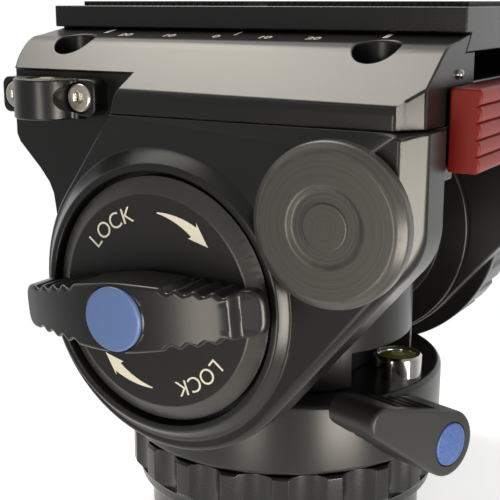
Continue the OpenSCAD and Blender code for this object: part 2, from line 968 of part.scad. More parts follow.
module near_cheek() {
    color("#333335")
        difference() {
            union() {
                along_x(-web_out, -cheek_in)
                    web_outline();
                difference() {
                    intersection() {
                        along_x(-cheek_face_rear - 2, -cheek_in)
                            cheek_outline();
                        translate([0, 0, tilt_z - 2 * cheek_r])
                            linear_extrude(height = 5 * cheek_r)
                                cheek_plan();
                    }
                    translate([-platform_half, -2 * cheek_rear, seam_z])
                        rotate([0, -35, 0])
                            translate([-20, 0, 0])
                                cube([20, 4 * cheek_rear, 20]);
                }
                tilt_cone(-bezel_face, -cheek_face_front + 2, bezel_lip_r, cheek_r);
                translate([-boss_face + 4, boss_y, boss_z])
                    rotate([0, 90, 0])
                        cylinder(h = boss_face - 4 - cheek_in, r = boss_r - 1.2);
                cheek_flanges();
            }
            tilt_rod(-bezel_face - 10, -seat_x, bore_r);
            tilt_rod(-seat_x - 1, -cheek_in + 1, axle_r);
            translate([-boss_face, boss_y, boss_z])
                rotate([0, 90, 0])
                    cylinder(h = boss_face, r = m4_r);
            at_platform_screws()
                translate([0, 0, -platform_screw_l - 0.4])
                    cylinder(h = platform_screw_l, r = m4_r);
        }
}

module far_cheek() {
    color("#333335")
        difference() {
            union() {
                along_x(cheek_in, far_cheek_out)
                    cheek_outline();
                along_x(cheek_in, web_out)
                    web_outline();
                mirror([1, 0, 0])
                    cheek_flanges();
            }
            tilt_rod(cheek_in - 1, far_cheek_out + 1, axle_r);
            at_platform_screws()
                translate([0, 0, -platform_screw_l - 0.4])
                    cylinder(h = platform_screw_l, r = m4_r);
        }
}

module tilt_axle() {
    color("#a9acaf")
        difference() {
            tilt_rod(-axle_near, axle_far, axle_r);
            tilt_rod(-axle_near - 1, -cheek_in, knob_stud_r + fit);
        }
}

module platform_screws() {
    color("#202021")
        at_platform_screws()
            socket_screw(m4_r - 0.02, m4_head_r, m4_head_h, platform_screw_l);
}

module tilt_damper_rotor() {
    color("#c3a24a")
        difference() {
            tilt_rod(-20, 0, chamber_r - 0.4);
            tilt_rod(-21, 1, axle_r);
        }
}

module boss_cap() {
    color("#3b3b3d")
        translate([-boss_face, boss_y, boss_z])
            rotate([0, 90, 0])
                difference() {
                    rotate_extrude()
                        polygon([
                            [0, 0.5],
                            [6.4, 0.5],
                            [6.9, 0],
                            [boss_r - 1.7, 0],
                            [boss_r, 1.5],
                            [boss_r, 4],
                            [0, 4]
                        ]);
                    translate([0, 0, -1])
                        cylinder(h = 6, r = m4_r + 0.1);
                }
}

module boss_pin() {
    color("#2a2a2b")
        translate([-boss_face + 0.5, boss_y, boss_z])
            rotate([0, -90, 0]) {
                translate([0, 0, -10])
                    cylinder(h = 10 + eps, r = m4_r - 0.02);
                cylinder(h = 0.3, r = boss_pin_r);
                translate([0, 0, 0.3 - eps])
                    cylinder(h = 0.2, r1 = boss_pin_r, r2 = boss_pin_r - 0.2);
            }
}

module level_bracket() {
    color("#303032")
        difference() {
            union() {
                along_x(-bracket_out, -web_out)
                    bracket_ears();
                intersection() {
                    translate([-bracket_out, bracket_mid, bracket_z - 0.6])
                        cylinder(h = bracket_h + 0.6, r = bracket_boss_r);
                    translate([-bracket_out - 2 * bracket_boss_r, 0, bracket_z - 1])
                        cube([2 * bracket_boss_r + bracket_t, 2 * bracket_mid, bracket_h + 2]);
                }
            }
            translate([-bracket_out, bracket_mid, bracket_z + bracket_h - 2.6])
                cylinder(h = 4, r = vial_r);
            at_bracket_screws()
                cylinder(h = 12, r = m3_head_r + 0.45);
            at_bracket_screws()
                translate([0, 0, -4])
                    cylinder(h = 6, r = m3_r + 0.1);
        }
}

// Rounded ears of the level bracket, in Y and Z
module bracket_ears() {
    r = 1.6;
    translate([bracket_mid - bracket_half + r, bracket_z])
        square([2 * (bracket_half - r), bracket_h]);
    translate([bracket_mid - bracket_half, bracket_z + r])
        square([2 * bracket_half, bracket_h - 2 * r]);
    for (sy = [-1, 1]) {
        for (z = [bracket_z + r, bracket_z + bracket_h - r]) {
            translate([bracket_mid + sy * (bracket_half - r), z])
                circle(r);
        }
    }
}

module level_vial() {
    color("#c2cb45")
        translate([-bracket_out, bracket_mid, bracket_z + bracket_h - 2.6])
            cylinder(h = 2.7, r = vial_r);
}

module bracket_screws() {
    color("#c9cbcc")
        at_bracket_screws()
            socket_screw(m3_r - 0.02, m3_head_r, m3_head_h, 8);
}

module release_pin() {
    color("#a6a9ac")
        translate([release_pin_x, release_pin_y, release_z - clear - lug_t])
            cylinder(h = release_h + 2 * (clear + lug_t), r = release_pin_r);
}

module knob_disc() {
    color("#232324")
        difference() {
            union() {
                tilt_cone(-disc_face, -disc_face + knob_bevel, knob_face_r, knob_r);
                tilt_rod(-disc_face + knob_bevel - eps, -disc_back, knob_r);
            }
            tilt_rod(-disc_face - 1, -disc_back + 1, knob_stud_r);
        }
}

// Outline of the wing grip about the tilt axis, in Y and Z
module wing_outline() {
    difference() {
        intersection() {
            union() {
                tangent_pair([0, 0], wing_mid, [tip_mid, 0], wing_tip);
                tangent_pair([0, 0], wing_mid, [-tip_mid, 0], wing_tip);
            }
            square([2 * wing_half, 4 * wing_mid], center = true);
        }
        for (i = [0:3]) {
            y = wing_mid + 4.4 + notch_pitch * i;
            edge = wing_mid + (wing_tip - wing_mid) * y / tip_mid;
            for (sy = [-1, 1]) {
                for (sz = [-1, 1]) {
                    translate([sy * y, sz * (edge + notch_r - notch_deep)])
                        circle(notch_r, $fn = 32);
                }
            }
        }
    }
}

module knob_wing() {
    color("#2a2a2b")
        translate([0, 0, tilt_z])
            rotate([wing_turn, 0, 0])
                difference() {
                    union() {
                        intersection() {
                            along_x(-wing_face - 1, -wing_back)
                                wing_outline();
                            translate([wing_curve_r - wing_face, 0, -2 * wing_mid])
                                cylinder(h = 4 * wing_mid, r = wing_curve_r, $fn = 180);
                        }
                        along_x(-wing_back - 1, -disc_face)
                            square([2 * wing_mid + 8, 2 * wing_mid - 2.6], center = true);
                    }
                    translate([-wing_face - 1, 0, 0])
                        rotate([0, 90, 0])
                            cylinder(h = 4, r = knob_cap_r);
                    translate([-wing_face - 1, 0, 0])
                        rotate([0, 90, 0])
                            cylinder(h = wing_out + 4, r = knob_stud_r);
                }
}

module knob_cap() {
    color("#4f74bd") {
        tilt_cone(-wing_face - 0.7, -wing_face - 0.3, knob_cap_r - 0.4, knob_cap_r);
        tilt_rod(-wing_face - 0.3 - eps, -wing_face + 3, knob_cap_r);
    }
}

module knob_stud() {
    color("#a6a9ac")
        tilt_rod(-wing_face + 3, -cheek_in - clear, knob_stud_r);
}

module drag_dial() {
    color("#262627")
        difference() {
            union() {
                tilt_rod(dial_x, dial_out - 1.2, dial_r);
                tilt_cone(dial_out - 1.2 - eps, dial_out, dial_r, dial_r - 1.2);
            }
            tilt_rod(dial_x - 1, axle_far + clear, axle_r + fit);
            tilt_rod(dial_out - 2, dial_out + 1, dial_cap_r);
            for (i = [0:dial_grooves - 1]) {
                translate([dial_x + 3, 0, tilt_z])
                    rotate([360 * i / dial_grooves, 0, 0])
                        translate([0, 0, dial_r + 0.7])
                            rotate([0, 90, 0])
                                cylinder(h = dial_l, r = 1.5, $fn = 24);
            }
        }
}

module dial_cap() {
    color("#4a4a4c")
        tilt_rod(dial_out - 2, dial_out - 0.4, dial_cap_r);
}

module camera_plate() {
    color("#2e2e30")
        difference() {
            union() {
                along_y(plate_rear, plate_front)
                    polygon([
                        [-plate_w / 2, plate_top],
                        [-plate_w / 2, slab_z],
                        [-neck_half, slab_z],
                        [-neck_half, rail_top],
                        [-plate_w / 2, dovetail_z],
                        [plate_w / 2, dovetail_z],
                        [neck_half, rail_top],
                        [neck_half, slab_z],
                        [plate_w / 2, slab_z],
                        [plate_w / 2, plate_top]
                    ]);
            }
            translate([0, camera_screw_y, 0])
                camera_slot(camera_screw_r + screw_gap / 2, dovetail_z - 1, plate_top + 1);
            translate([0, camera_screw_y, 0])
                camera_slot(camera_screw_head_r + screw_gap, dovetail_z - 1, dovetail_z + screw_room);
        }
}

// Slot along the plate for the camera screw
module camera_slot(r, z0, z1) {
    translate([0, 0, z0])
        linear_extrude(height = z1 - z0)
            tangent_pair([0, -camera_slot_half], r, [0, camera_slot_half], r);
}

// Ribbed pad on the plate between two places along it
module plate_pad(y0, y1) {
    half = plate_w / 2 - pad_border;
    color("#1f1f20")
        translate([0, 0, plate_top])
            difference() {
                translate([-half, y0, 0])
                    cube([2 * half, y1 - y0, pad_t]);
                translate([0, camera_screw_y, 0])
                    camera_slot(camera_screw_r + screw_gap, -1, pad_t + 1);
            }
}

module plate_pad_front() {
    plate_pad(pad_gap_mid + pad_gap / 2, plate_front - pad_end);
}

module plate_pad_rear() {
    plate_pad(plate_rear + pad_end / 2, pad_gap_mid - pad_gap / 2);
}

module screw_clip() {
    color("#a6a9ac")
        translate([0, camera_screw_y, screw_head_top + fit])
            difference() {
                cylinder(h = 0.8, r = camera_screw_r + 2);
                translate([0, 0, -1])
                    cylinder(h = 3, r = camera_screw_r + fit);
            }
}

module camera_screw() {
    color("#b4b7ba")
        translate([0, camera_screw_y, 0]) {
            translate([0, 0, screw_head_top])
                cylinder(h = screw_tip - screw_head_top, r = camera_screw_r);
            translate([0, 0, screw_head_top - screw_head_h])
                cylinder(h = screw_head_h + eps, r = camera_screw_head_r);
        }
}

module release_lever() {
    ridge_room = release_h - 2;
    ridge = ridge_room / release_ridges;
    color("#b3291c")
        difference() {
            union() {
                translate([release_near, -release_rear, release_z])
                    cube([release_pin_x - release_near, release_t, release_h]);
                translate([release_pin_x, release_pin_y, release_z])
                    cylinder(h = release_h, r = release_t / 2);
            }
            translate([release_pin_x, release_pin_y, release_z - 1])
                cylinder(h = release_h + 2, r = release_pin_r + fit);
            for (i = [1:release_ridges - 1]) {
                translate([release_near - 1, -release_rear - 0.5, release_z + 1 + ridge * i])
                    rotate([0, 90, 0])
                        cylinder(h = release_pin_x - release_near - 4, r = 1.1, $fn = 24);
            }
        }
}

module plate_latch() {
    color("#b4b7ba")
        translate([latch_x, latch_y, seam_z - 3])
            cylinder(h = dovetail_z - clear - seam_z + 3, r = latch_r);
}

base_plate();
pan_spindle();
spindle_screws();
spindle_nut();
pan_damper_disc();
pan_drag_ring();
pan_housing();
pedestal();
housing_screws();
pan_bearing();
pan_seal();
pan_brake_shoe();
base_level_ring();
base_level_vial();
tilt_bushes();
barrel_cap();
counterbalance_spring();
pan_lever();
pan_lever_stud();
pan_lever_cap();
platform();
near_cheek();
far_cheek();
tilt_axle();
platform_screws();
tilt_damper_rotor();
boss_cap();
boss_pin();
level_bracket();
level_vial();
bracket_screws();
release_pin();
knob_disc();
knob_wing();
knob_cap();
knob_stud();
drag_dial();
dial_cap();
camera_plate();
plate_pad_front();
plate_pad_rear();
screw_clip();
camera_screw();
release_lever();
plate_latch();
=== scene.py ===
import json
import math
import bpy
import bmesh
from mathutils import Matrix, Vector
from mathutils.bvhtree import BVHTree


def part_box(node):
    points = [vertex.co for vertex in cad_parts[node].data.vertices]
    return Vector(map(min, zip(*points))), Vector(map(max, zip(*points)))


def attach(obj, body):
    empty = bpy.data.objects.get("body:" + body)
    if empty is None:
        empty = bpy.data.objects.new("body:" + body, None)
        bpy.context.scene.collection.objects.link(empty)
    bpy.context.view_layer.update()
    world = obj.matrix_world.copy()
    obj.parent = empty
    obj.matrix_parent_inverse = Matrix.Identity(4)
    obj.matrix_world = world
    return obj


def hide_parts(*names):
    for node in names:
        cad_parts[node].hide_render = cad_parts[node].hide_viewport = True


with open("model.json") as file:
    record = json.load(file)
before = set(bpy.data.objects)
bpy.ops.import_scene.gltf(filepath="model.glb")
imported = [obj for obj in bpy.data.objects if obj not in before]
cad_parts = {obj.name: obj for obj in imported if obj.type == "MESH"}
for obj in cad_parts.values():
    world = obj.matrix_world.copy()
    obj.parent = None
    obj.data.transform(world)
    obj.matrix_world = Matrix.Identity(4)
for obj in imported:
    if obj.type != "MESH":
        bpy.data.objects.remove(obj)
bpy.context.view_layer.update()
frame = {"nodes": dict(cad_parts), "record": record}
nodes = frame["nodes"]
scene = bpy.context.scene
scene.view_settings.view_transform = "Standard"

# Places on the object, in metres
MM = 0.001
TILT_Z = 59.6 * MM
BOSS_CENTRE = (0.0, -35.9 * MM, 77.9 * MM)
KNOB_FACE_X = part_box("knob_disc")[0].x
RAIL_EDGE = (30.5 * MM, 107.0 * MM)
RAIL_TOP = (22.8 * MM, 108.3 * MM)
RAIL_REAR = -48.5 * MM

# Turns that take a shape from the X axis to the near side, to the rear or upright
TO_NEAR = Matrix.Rotation(math.pi, 4, "Z")
TO_REAR = Matrix.Rotation(-math.pi / 2, 4, "Z")
TO_TOP = Matrix.Rotation(-math.pi / 2, 4, "Y")


# Shader groups shared by the finishes

def new_group(name, inputs, outputs):
    """An empty shader group with named inputs, each with its first value, and named outputs."""
    group = bpy.data.node_groups.new(name, "ShaderNodeTree")
    for label, value in inputs:
        kind = "NodeSocketVector" if isinstance(value, tuple) else "NodeSocketFloat"
        socket = group.interface.new_socket(label, in_out="INPUT", socket_type=kind)
        socket.default_value = value
    for label in outputs:
        group.interface.new_socket(label, in_out="OUTPUT", socket_type="NodeSocketFloat")
    return group, group.nodes.new("NodeGroupInput"), group.nodes.new("NodeGroupOutput")


def feed(node, values):
    """Links some of a node's inputs to outputs, or sets them to plain values."""
    for label, value in values.items():
        socket = node.inputs[label]
        if hasattr(value, "is_output"):
            node.id_data.links.new(value, socket)
        else:
            socket.default_value = value


def shader_node(tree, kind, values=None, **settings):
    """A new node with its settings made first and its inputs fed after them."""
    node = tree.nodes.new("ShaderNode" + kind)
    for label, value in settings.items():
        setattr(node, label, value)
    feed(node, values or {})
    return node


def math_node(tree, operation, a, b, clamp=False):
    return shader_node(tree, "Math", {0: a, 1: b}, operation=operation, use_clamp=clamp).outputs[0]


def about(tree, value, centre, swing):
    """A noise value turned into one that swings about a centre."""
    away = math_node(tree, "SUBTRACT", value, 0.5)
    return math_node(tree, "ADD", centre, math_node(tree, "MULTIPLY", away, swing))


def object_place(tree):
    return shader_node(tree, "TexCoord").outputs["Object"]


def noise(tree, place, scale, detail):
    values = {"Vector": place, "Scale": scale, "Detail": detail}
    return shader_node(tree, "TexNoise", values).outputs["Fac"]


def blasted_grain():
    """Fine even grain of a bead blasted and painted face, with a faint slow drift of tone and sheen."""
    inputs = [("Scale", 2600.0), ("Rough", 0.34), ("Speck", 0.3)]
    group, start, end = new_group("blasted_grain", inputs, ["Height", "Roughness", "Tone"])
    place = object_place(group)
    fine = noise(group, place, start.outputs["Scale"], 3.0)
    slow = noise(group, place, 16.0, 2.0)
    smear = noise(group, place, 90.0, 4.0)
    rough = math_node(group, "ADD", start.outputs["Rough"], about(group, fine, 0.0, 0.08))
    sheen = math_node(group, "ADD", rough, about(group, smear, 0.0, 0.02))
    specks = about(group, fine, 0.0, start.outputs["Speck"])
    tone = math_node(group, "ADD", about(group, slow, 1.0, 0.10), specks)
    feed(end, {"Height": fine, "Roughness": sheen, "Tone": tone})
    return group


def rubbed_edges():
    """Pale rub along the rounded edges, broken up by a coarse noise."""
    group, start, end = new_group("rubbed_edges", [("Amount", 0.3), ("Scale", 420.0)], ["Mask"])
    edge = shader_node(group, "Attribute", attribute_name="edge")
    coarse = noise(group, object_place(group), start.outputs["Scale"], 5.0)
    broken = shader_node(group, "MapRange", {"Value": coarse, "From Min": 0.38, "From Max": 0.72})
    worn = math_node(group, "MULTIPLY", edge.outputs["Fac"], broken.outputs["Result"])
    feed(end, {"Mask": math_node(group, "MULTIPLY", worn, start.outputs["Amount"], True)})
    return group


def turned_rings():
    """Concentric tool marks round the X axis of the place that is put in."""
    inputs = [("Vector", (0.0, 0.0, 0.0)), ("Rings", 1500.0)]
    group, start, end = new_group("turned_rings", inputs, ["Height", "Tone"])
    split = shader_node(group, "SeparateXYZ", {0: start.outputs["Vector"]}).outputs
    flat = shader_node(group, "CombineXYZ", {"Y": split["Y"], "Z": split["Z"]})
    length = shader_node(group, "VectorMath", {0: flat.outputs[0]}, operation="LENGTH")
    radius = math_node(group, "MULTIPLY", length.outputs["Value"], start.outputs["Rings"])
    values = {"W": radius, "Scale": 1.0, "Detail": 3.0}
    marks = shader_node(group, "TexNoise", values, noise_dimensions="1D").outputs["Fac"]
    tone = math_node(group, "ADD", 0.7, math_node(group, "MULTIPLY", marks, 0.6))
    feed(end, {"Height": marks, "Tone": tone})
    return group


GRAIN = blasted_grain()
RUB = rubbed_edges()
RINGS = turned_rings()


# Finishes

def bare_material(name):
    material = bpy.data.materials.new(name)
    material.use_nodes = True
    return material, material.node_tree, material.node_tree.nodes["Principled BSDF"]


def tinted(tree, colour, factor):
    """The colour made lighter or darker by a factor that changes over the surface."""
    node = shader_node(tree, "VectorMath", {0: colour, "Scale": factor}, operation="SCALE")
    return node.outputs["Vector"]


def mixed(tree, factor, shaded, plain):
    """A shaded colour that gives way to a plain one where the factor is one."""
    node = shader_node(tree, "Mix", {"Factor": factor}, data_type="RGBA")
    first, second = [s for s in node.inputs if s.type == "RGBA"]
    tree.links.new(shaded, first)
    second.default_value = (*plain, 1.0)
    return [s for s in node.outputs if s.type == "RGBA"][0]


def use_group(tree, group, **values):
    return shader_node(tree, "Group", values, node_tree=group).outputs


def relief(tree, height, strength, depth):
    """Normal of a surface that is raised and sunk by a height."""
    values = {"Height": height, "Strength": strength, "Distance": depth}
    return shader_node(tree, "Bump", values).outputs["Normal"]


def satin(
    name, colour, rough, rub, rubbed, grain=2600.0, bump=0.05, specular=0.5, metallic=0.0, speck=0.3
):
    """Painted, anodised or bare metal with a fine grain, its edges rubbed to another colour."""
    material, tree, shader = bare_material(name)
    body = use_group(tree, GRAIN, Scale=grain, Rough=rough, Speck=speck)
    wear = use_group(tree, RUB, Amount=rub)
    feed(shader, {
        "Base Color": mixed(tree, wear["Mask"], tinted(tree, colour, body["Tone"]), rubbed),
        "Roughness": body["Roughness"],
        "Normal": relief(tree, body["Height"], bump, 0.06 * MM),
        "Metallic": metallic,
        "Specular IOR Level": specular,
    })
    return material


def turned(name, colour, rough, centre):
    """Lathe turned face about an axis along X through the centre."""
    material, tree, shader = bare_material(name)
    shift = tuple(-c for c in centre)
    place = shader_node(tree, "Mapping", {"Vector": object_place(tree), "Location": shift})
    marks = use_group(tree, RINGS, Vector=place.outputs["Vector"], Rings=2600.0)
    wear = use_group(tree, RUB, Amount=0.25)
    pale = tuple(3.0 * c for c in colour)
    feed(shader, {
        "Base Color": mixed(tree, wear["Mask"], tinted(tree, colour, marks["Tone"]), pale),
        "Roughness": about(tree, marks["Height"], rough, 0.1),
        "Normal": relief(tree, marks["Height"], 0.12, 0.05 * MM),
    })
    return material


def ribbed(name, colour, rough):
    """Rubber with fine ribs across the plate and a dull grain."""
    material, tree, shader = bare_material(name)
    wave = {"Vector": object_place(tree), "Scale": 210.0, "Distortion": 0.0}
    ribs = shader_node(tree, "TexWave", wave, bands_direction="Y", wave_profile="SIN").outputs["Fac"]
    body = use_group(tree, GRAIN, Scale=2200.0, Rough=rough, Speck=0.3)
    tone = math_node(tree, "MULTIPLY", body["Tone"], about(tree, ribs, 1.0, 1.1))
    height = math_node(tree, "ADD", ribs, math_node(tree, "MULTIPLY", body["Height"], 0.15))
    feed(shader, {
        "Base Color": tinted(tree, colour, tone),
        "Roughness": body["Roughness"],
        "Normal": relief(tree, height, 0.9, 0.35 * MM),
        "Specular IOR Level": 0.35,
    })
    return material


def fluid(name, colour):
    """Glossy fluid under a clear coat, with faint swirls."""
    material, tree, shader = bare_material(name)
    swirl = noise(tree, object_place(tree), 260.0, 2.0)
    feed(shader, {
        "Base Color": tinted(tree, colour, about(tree, swirl, 1.0, 0.4)),
        "Roughness": about(tree, swirl, 0.09, 0.06),
        "Coat Weight": 0.6,
        "Coat Roughness": 0.04,
    })
    return material


RUBBED_BLACK = (0.06, 0.058, 0.055)
RUBBED_BLUE = (0.40, 0.50, 0.75)
CREAM = (0.76, 0.72, 0.60)

CASTING = satin("satin_casting", (0.0075, 0.0074, 0.0072), 0.30, 0.30, (0.06, 0.058, 0.054))
ANODISED = satin(
    "black_anodised", (0.0065, 0.0064, 0.0063), 0.27, 0.30, RUBBED_BLACK, grain=3200.0, bump=0.04
)
KNOB_PAINT = satin(
    "speckled_knob_paint", (0.010, 0.010, 0.0098), 0.36, 0.25, RUBBED_BLACK,
    grain=1700.0, bump=0.22, speck=0.9,
)
# Lighter grey for the knob disc's sloping rim: a painted highlight where the rim catches light from the
# sides
KNOB_RIM_HIGHLIGHT = satin("knob_rim_painted_highlight", (0.036, 0.035, 0.032), 0.32, 0.25, (0.08, 0.078, 0.072), grain=3000.0)
LEVER_PAINT = satin(
    "lever_paint", (0.015, 0.0148, 0.0142), 0.44, 0.2, RUBBED_BLACK, grain=2000.0, bump=0.03
)
BOSS = turned("turned_boss", (0.052, 0.050, 0.045), 0.33, BOSS_CENTRE)
AXIS_TURNED = turned("turned_axis", (0.016, 0.016, 0.0155), 0.32, (0.0, 0.0, TILT_Z))
BLACK_STEEL = satin("black_steel", (0.012, 0.012, 0.012), 0.28, 0.5, (0.10, 0.095, 0.09))
STEEL = satin(
    "ground_steel", (0.46, 0.45, 0.43), 0.26, 0.2, (0.65, 0.64, 0.61), metallic=1.0, grain=1800.0
)
STAINLESS = satin("stainless_screws", (0.58, 0.55, 0.49), 0.24, 0.2, (0.75, 0.73, 0.69), metallic=0.75)
LEVEL_METAL = satin("level_ring_metal", (0.60, 0.585, 0.555), 0.13, 0.2, (0.7, 0.69, 0.66), metallic=1.0)
BRONZE = satin("machined_bronze", (0.46, 0.30, 0.11), 0.34, 0.2, (0.6, 0.42, 0.2), metallic=1.0)
RUBBER = ribbed("ribbed_rubber", (0.020, 0.0198, 0.019), 0.62)
FLUID = fluid("level_fluid", (0.26, 0.27, 0.05))
BUBBLE = fluid("level_bubble", (0.55, 0.58, 0.24))
BLUE = satin("blue_anodised", (0.105, 0.17, 0.37), 0.34, 0.6, RUBBED_BLUE, grain=3600.0, speck=0.2)
LEVER_BLUE = satin(
    "blue_speckled", (0.050, 0.098, 0.285), 0.40, 0.6, RUBBED_BLUE, grain=1500.0, bump=0.12, speck=1.4
)
RED = satin(
    "red_anodised", (0.16, 0.007, 0.003), 0.42, 0.4, (0.42, 0.07, 0.05), grain=3000.0, specular=0.25
)
PRINT = satin("cream_print", CREAM, 0.55, 0.0, CREAM, bump=0.2, speck=0.12)

SLOT_FINISH = {
    "black_anodised": ANODISED, "satin_casting": CASTING, "turned_alloy": AXIS_TURNED,
    "black_steel": BLACK_STEEL, "steel": STEEL, "stainless": STAINLESS,
    "level_ring_metal": LEVEL_METAL, "bronze": BRONZE, "rubber": RUBBER,
    "level_fluid": FLUID, "blue_anodised": BLUE, "red_anodised": RED,
}
NODE_SLOT = {s["node"]: s["material_slot"] for s in frame["record"]["subparts"]}
NODE_BODY = {n: b for b, members in frame["record"]["behaviour"]["bodies"].items() for n in members}
for name, node in nodes.items():
    node.data.materials.clear()
    node.data.materials.append(SLOT_FINISH[NODE_SLOT[name]])


# Making pieces

SAME_PLACE = 1e-7
SEAM_GAP = 3e-6
FLAT_ANGLE = math.radians(0.6)
CRISP_ANGLE = math.radians(28.0)
SMOOTH_ANGLE = math.radians(38.0)
ROUND_TRIES = (1.0, 1.0, 1.0, 1.0, 0.7, 0.7, 0.5, 0.35, 0.2)
TORN_REACH = 2.2
STRAY_SHARE = 0.6


def new_object(bm, name):
    """An object in the scene, made of a bmesh that is then freed."""
    mesh = bpy.data.meshes.new(name)
    bm.to_mesh(mesh)
    bm.free()
    made = bpy.data.objects.new(name, mesh)
    scene.collection.objects.link(made)
    return made


def sealed(bm):
    """Merges what lies together and points all faces outwards."""
    bmesh.ops.remove_doubles(bm, verts=bm.verts, dist=SAME_PLACE)
    bmesh.ops.recalc_face_normals(bm, faces=bm.faces)
    return bm


def solid_copy(node):
    """The node's own mesh with its seams closed and its flat faces whole."""
    bm = bmesh.new()
    bm.from_mesh(nodes[node].data)
    bmesh.ops.remove_doubles(bm, verts=bm.verts, dist=SEAM_GAP)
    bmesh.ops.dissolve_limit(bm, angle_limit=FLAT_ANGLE, verts=bm.verts, edges=bm.edges)
    return bm


def middle(edge):
    """Middle of an edge, in millimetres."""
    return (edge.verts[0].co + edge.verts[1].co) / (2 * MM)


def crisp(bm, test):
    """Edges with a crisp angle, as far as the test picks them."""
    sharp = [e for e in bm.edges if len(e.link_faces) == 2 and e.calc_face_angle(0.0) > CRISP_ANGLE]
    return [e for e in sharp if test is None or test(e)]


def round_edges(bm, width, segments=3, test=None):
    """Rounds the crisp edges that the test picks, but no corner that would tear; marks the new faces."""
    if bm.verts.layers.float.get("edge") is None:
        bm.verts.layers.float.new("edge")
    before = bpy.data.meshes.new("before")
    bm.to_mesh(before)
    skin = BVHTree.FromBMesh(bm)
    torn = []
    for share in ROUND_TRIES:
        offset = width * share * MM
        clear = TORN_REACH * offset
        edges = crisp(bm, test)
        edges = [e for e in edges if all((v.co - t).length > clear for t in torn for v in e.verts)]
        if not edges:
            break
        made = bmesh.ops.bevel(
            bm, geom=edges, offset=offset, offset_type="OFFSET", segments=segments, profile=0.5,
            affect="EDGES", clamp_overlap=False, material=-1,
        )
        stray = {v for v in made["verts"] if skin.find_nearest(v.co)[3] > STRAY_SHARE * offset}
        if not stray:
            layer = bm.verts.layers.float["edge"]
            fresh = set(made["faces"])
            for vert in made["verts"]:
                if all(face in fresh for face in vert.link_faces):
                    vert[layer] = 1.0
            break
        near = [e.other_vert(v) for v in stray for e in v.link_edges]
        torn += [v.co.copy() for v in near if v not in stray]
        torn += [skin.find_nearest(v.co)[0] for v in stray]
        bm.clear()
        bm.from_mesh(before)
    bpy.data.meshes.remove(before)


def keep(bm, name, body, finish, replaced=None, weigh=True):
    """Turns a bmesh into a finished piece that rides on a body."""
    piece = new_object(bm, name)
    mesh = piece.data
    mesh.materials.append(finish)
    mesh.polygons.foreach_set("use_smooth", [True] * len(mesh.polygons))
    mesh.set_sharp_from_angle(angle=SMOOTH_ANGLE)
    if weigh:
        even = piece.modifiers.new("even_faces", "WEIGHTED_NORMAL")
        even.keep_sharp = True
        even.weight = 100
    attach(piece, body)
    if replaced:
        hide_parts(replaced)
    return piece


def in_place_of(node, bm, name, finish):
    """A finished piece that replaces a CAD node and rides on the node's body."""
    return keep(bm, name, NODE_BODY[node], finish, replaced=node)


def dressed(node, name, width, finish=None, passes=(), segments=3, prepare=None, skip=None):
    """A CAD node with rounded edges: special passes first, then one width for what is left."""
    bm = solid_copy(node)
    if prepare:
        prepare(bm)
    for wide, count, test in passes:
        round_edges(bm, wide, count, test)
    round_edges(bm, width, segments, lambda e: not (skip and skip(e)))
    return in_place_of(node, bm, name, finish or SLOT_FINISH[NODE_SLOT[node]])


# Castings and turned pieces made from their CAD nodes, in millimetres

CORNER_X = 42.7
CORNER_Y = 44.5
CORNER_R = 4.0
CORNER_SLACK = 0.08
CORNER_REACH = -0.2
SHOULDER_FOOT = 97.25
SHOULDER_RISE = 0.725
SHOULDER_X = 46.0
SHOULDER_BAND = (96.5, 97.8)
BRACKET_SCREWS = (21.25, 37.15)
BRACKET_SCREW_Z = 95.75
SOCKET_R = 2.3
KNOB_RIM_R = 20.2
KNOB_RIM_LEAN = (-0.97, -0.2)


def flat_rear_corners(bm):
    """Turns the platform's two rounded rear corners into flat facets, shoulders included."""
    for vert in bm.verts:
        dx = abs(vert.co.x) / MM - CORNER_X
        dy = -vert.co.y / MM - CORNER_Y
        on_corner = abs(math.hypot(dx, dy) - CORNER_R) < CORNER_SLACK
        if on_corner and dx > CORNER_REACH and dy > CORNER_REACH:
            pull = (dx + dy - CORNER_R) / 2
            vert.co.x -= math.copysign(pull * MM, vert.co.x)
            vert.co.y += pull * MM
            if vert.co.z > SHOULDER_FOOT * MM:
                vert.co.z += SHOULDER_RISE * pull * MM


def shoulder_line(edge):
    """Lower edge of the platform's sloping shoulders, along the flanks."""
    spot = middle(edge)
    along = (edge.verts[1].co - edge.verts[0].co).normalized()
    in_band = SHOULDER_BAND[0] < spot.z < SHOULDER_BAND[1]
    return abs(along.y) > 0.95 and abs(spot.x) > SHOULDER_X and in_band


def screw_socket(edge):
    """Edges of the sockets in the two bracket screws."""
    spot = middle(edge)
    return min(math.hypot(spot.y - y, spot.z - BRACKET_SCREW_Z) for y in BRACKET_SCREWS) < SOCKET_R


def paint_rim_highlight(piece):
    """Gives the sloping rim of the knob's disc a finish of its own, lighter than the disc: a painted
    highlight.
    """
    piece.data.materials.append(KNOB_RIM_HIGHLIGHT)
    for face in piece.data.polygons:
        away = math.hypot(face.center.y, face.center.z - TILT_Z)
        if KNOB_RIM_LEAN[0] < face.normal.x < KNOB_RIM_LEAN[1] and away > KNOB_RIM_R * MM:
            face.material_index = 1


dressed("base_plate", "base_plate_round", 0.5)
dressed("pan_drag_ring", "fluted_ring", 0.18, segments=2)
dressed("pan_housing", "pan_housing_band", 0.4)
dressed("pedestal", "pedestal_barrel", 0.4)
dressed("far_cheek", "far_cheek_casting", 0.6)
dressed("platform", "platform_body", 0.4, passes=[(1.6, 5, shoulder_line)], prepare=flat_rear_corners)
dressed("camera_plate", "camera_plate_slab", 0.3)
# The knob's rim gets the lighter finish, a painted highlight
paint_rim_highlight(dressed("knob_disc", "knob_disc_face", 0.3, finish=KNOB_PAINT))
dressed("boss_cap", "boss_cap_turned", 0.45, finish=BOSS)
dressed("boss_pin", "boss_centre_pin", 0.15, finish=BOSS)
dressed("drag_dial", "drag_dial_drum", 0.35)
dressed("bracket_screws", "level_bracket_screws", 0.2, skip=screw_socket)
dressed("platform_screws", "platform_cap_screws", 0.25)


# Outlines, rings and turned shapes, in millimetres

def clamped(value):
    return min(max(value, 0.0), 1.0)


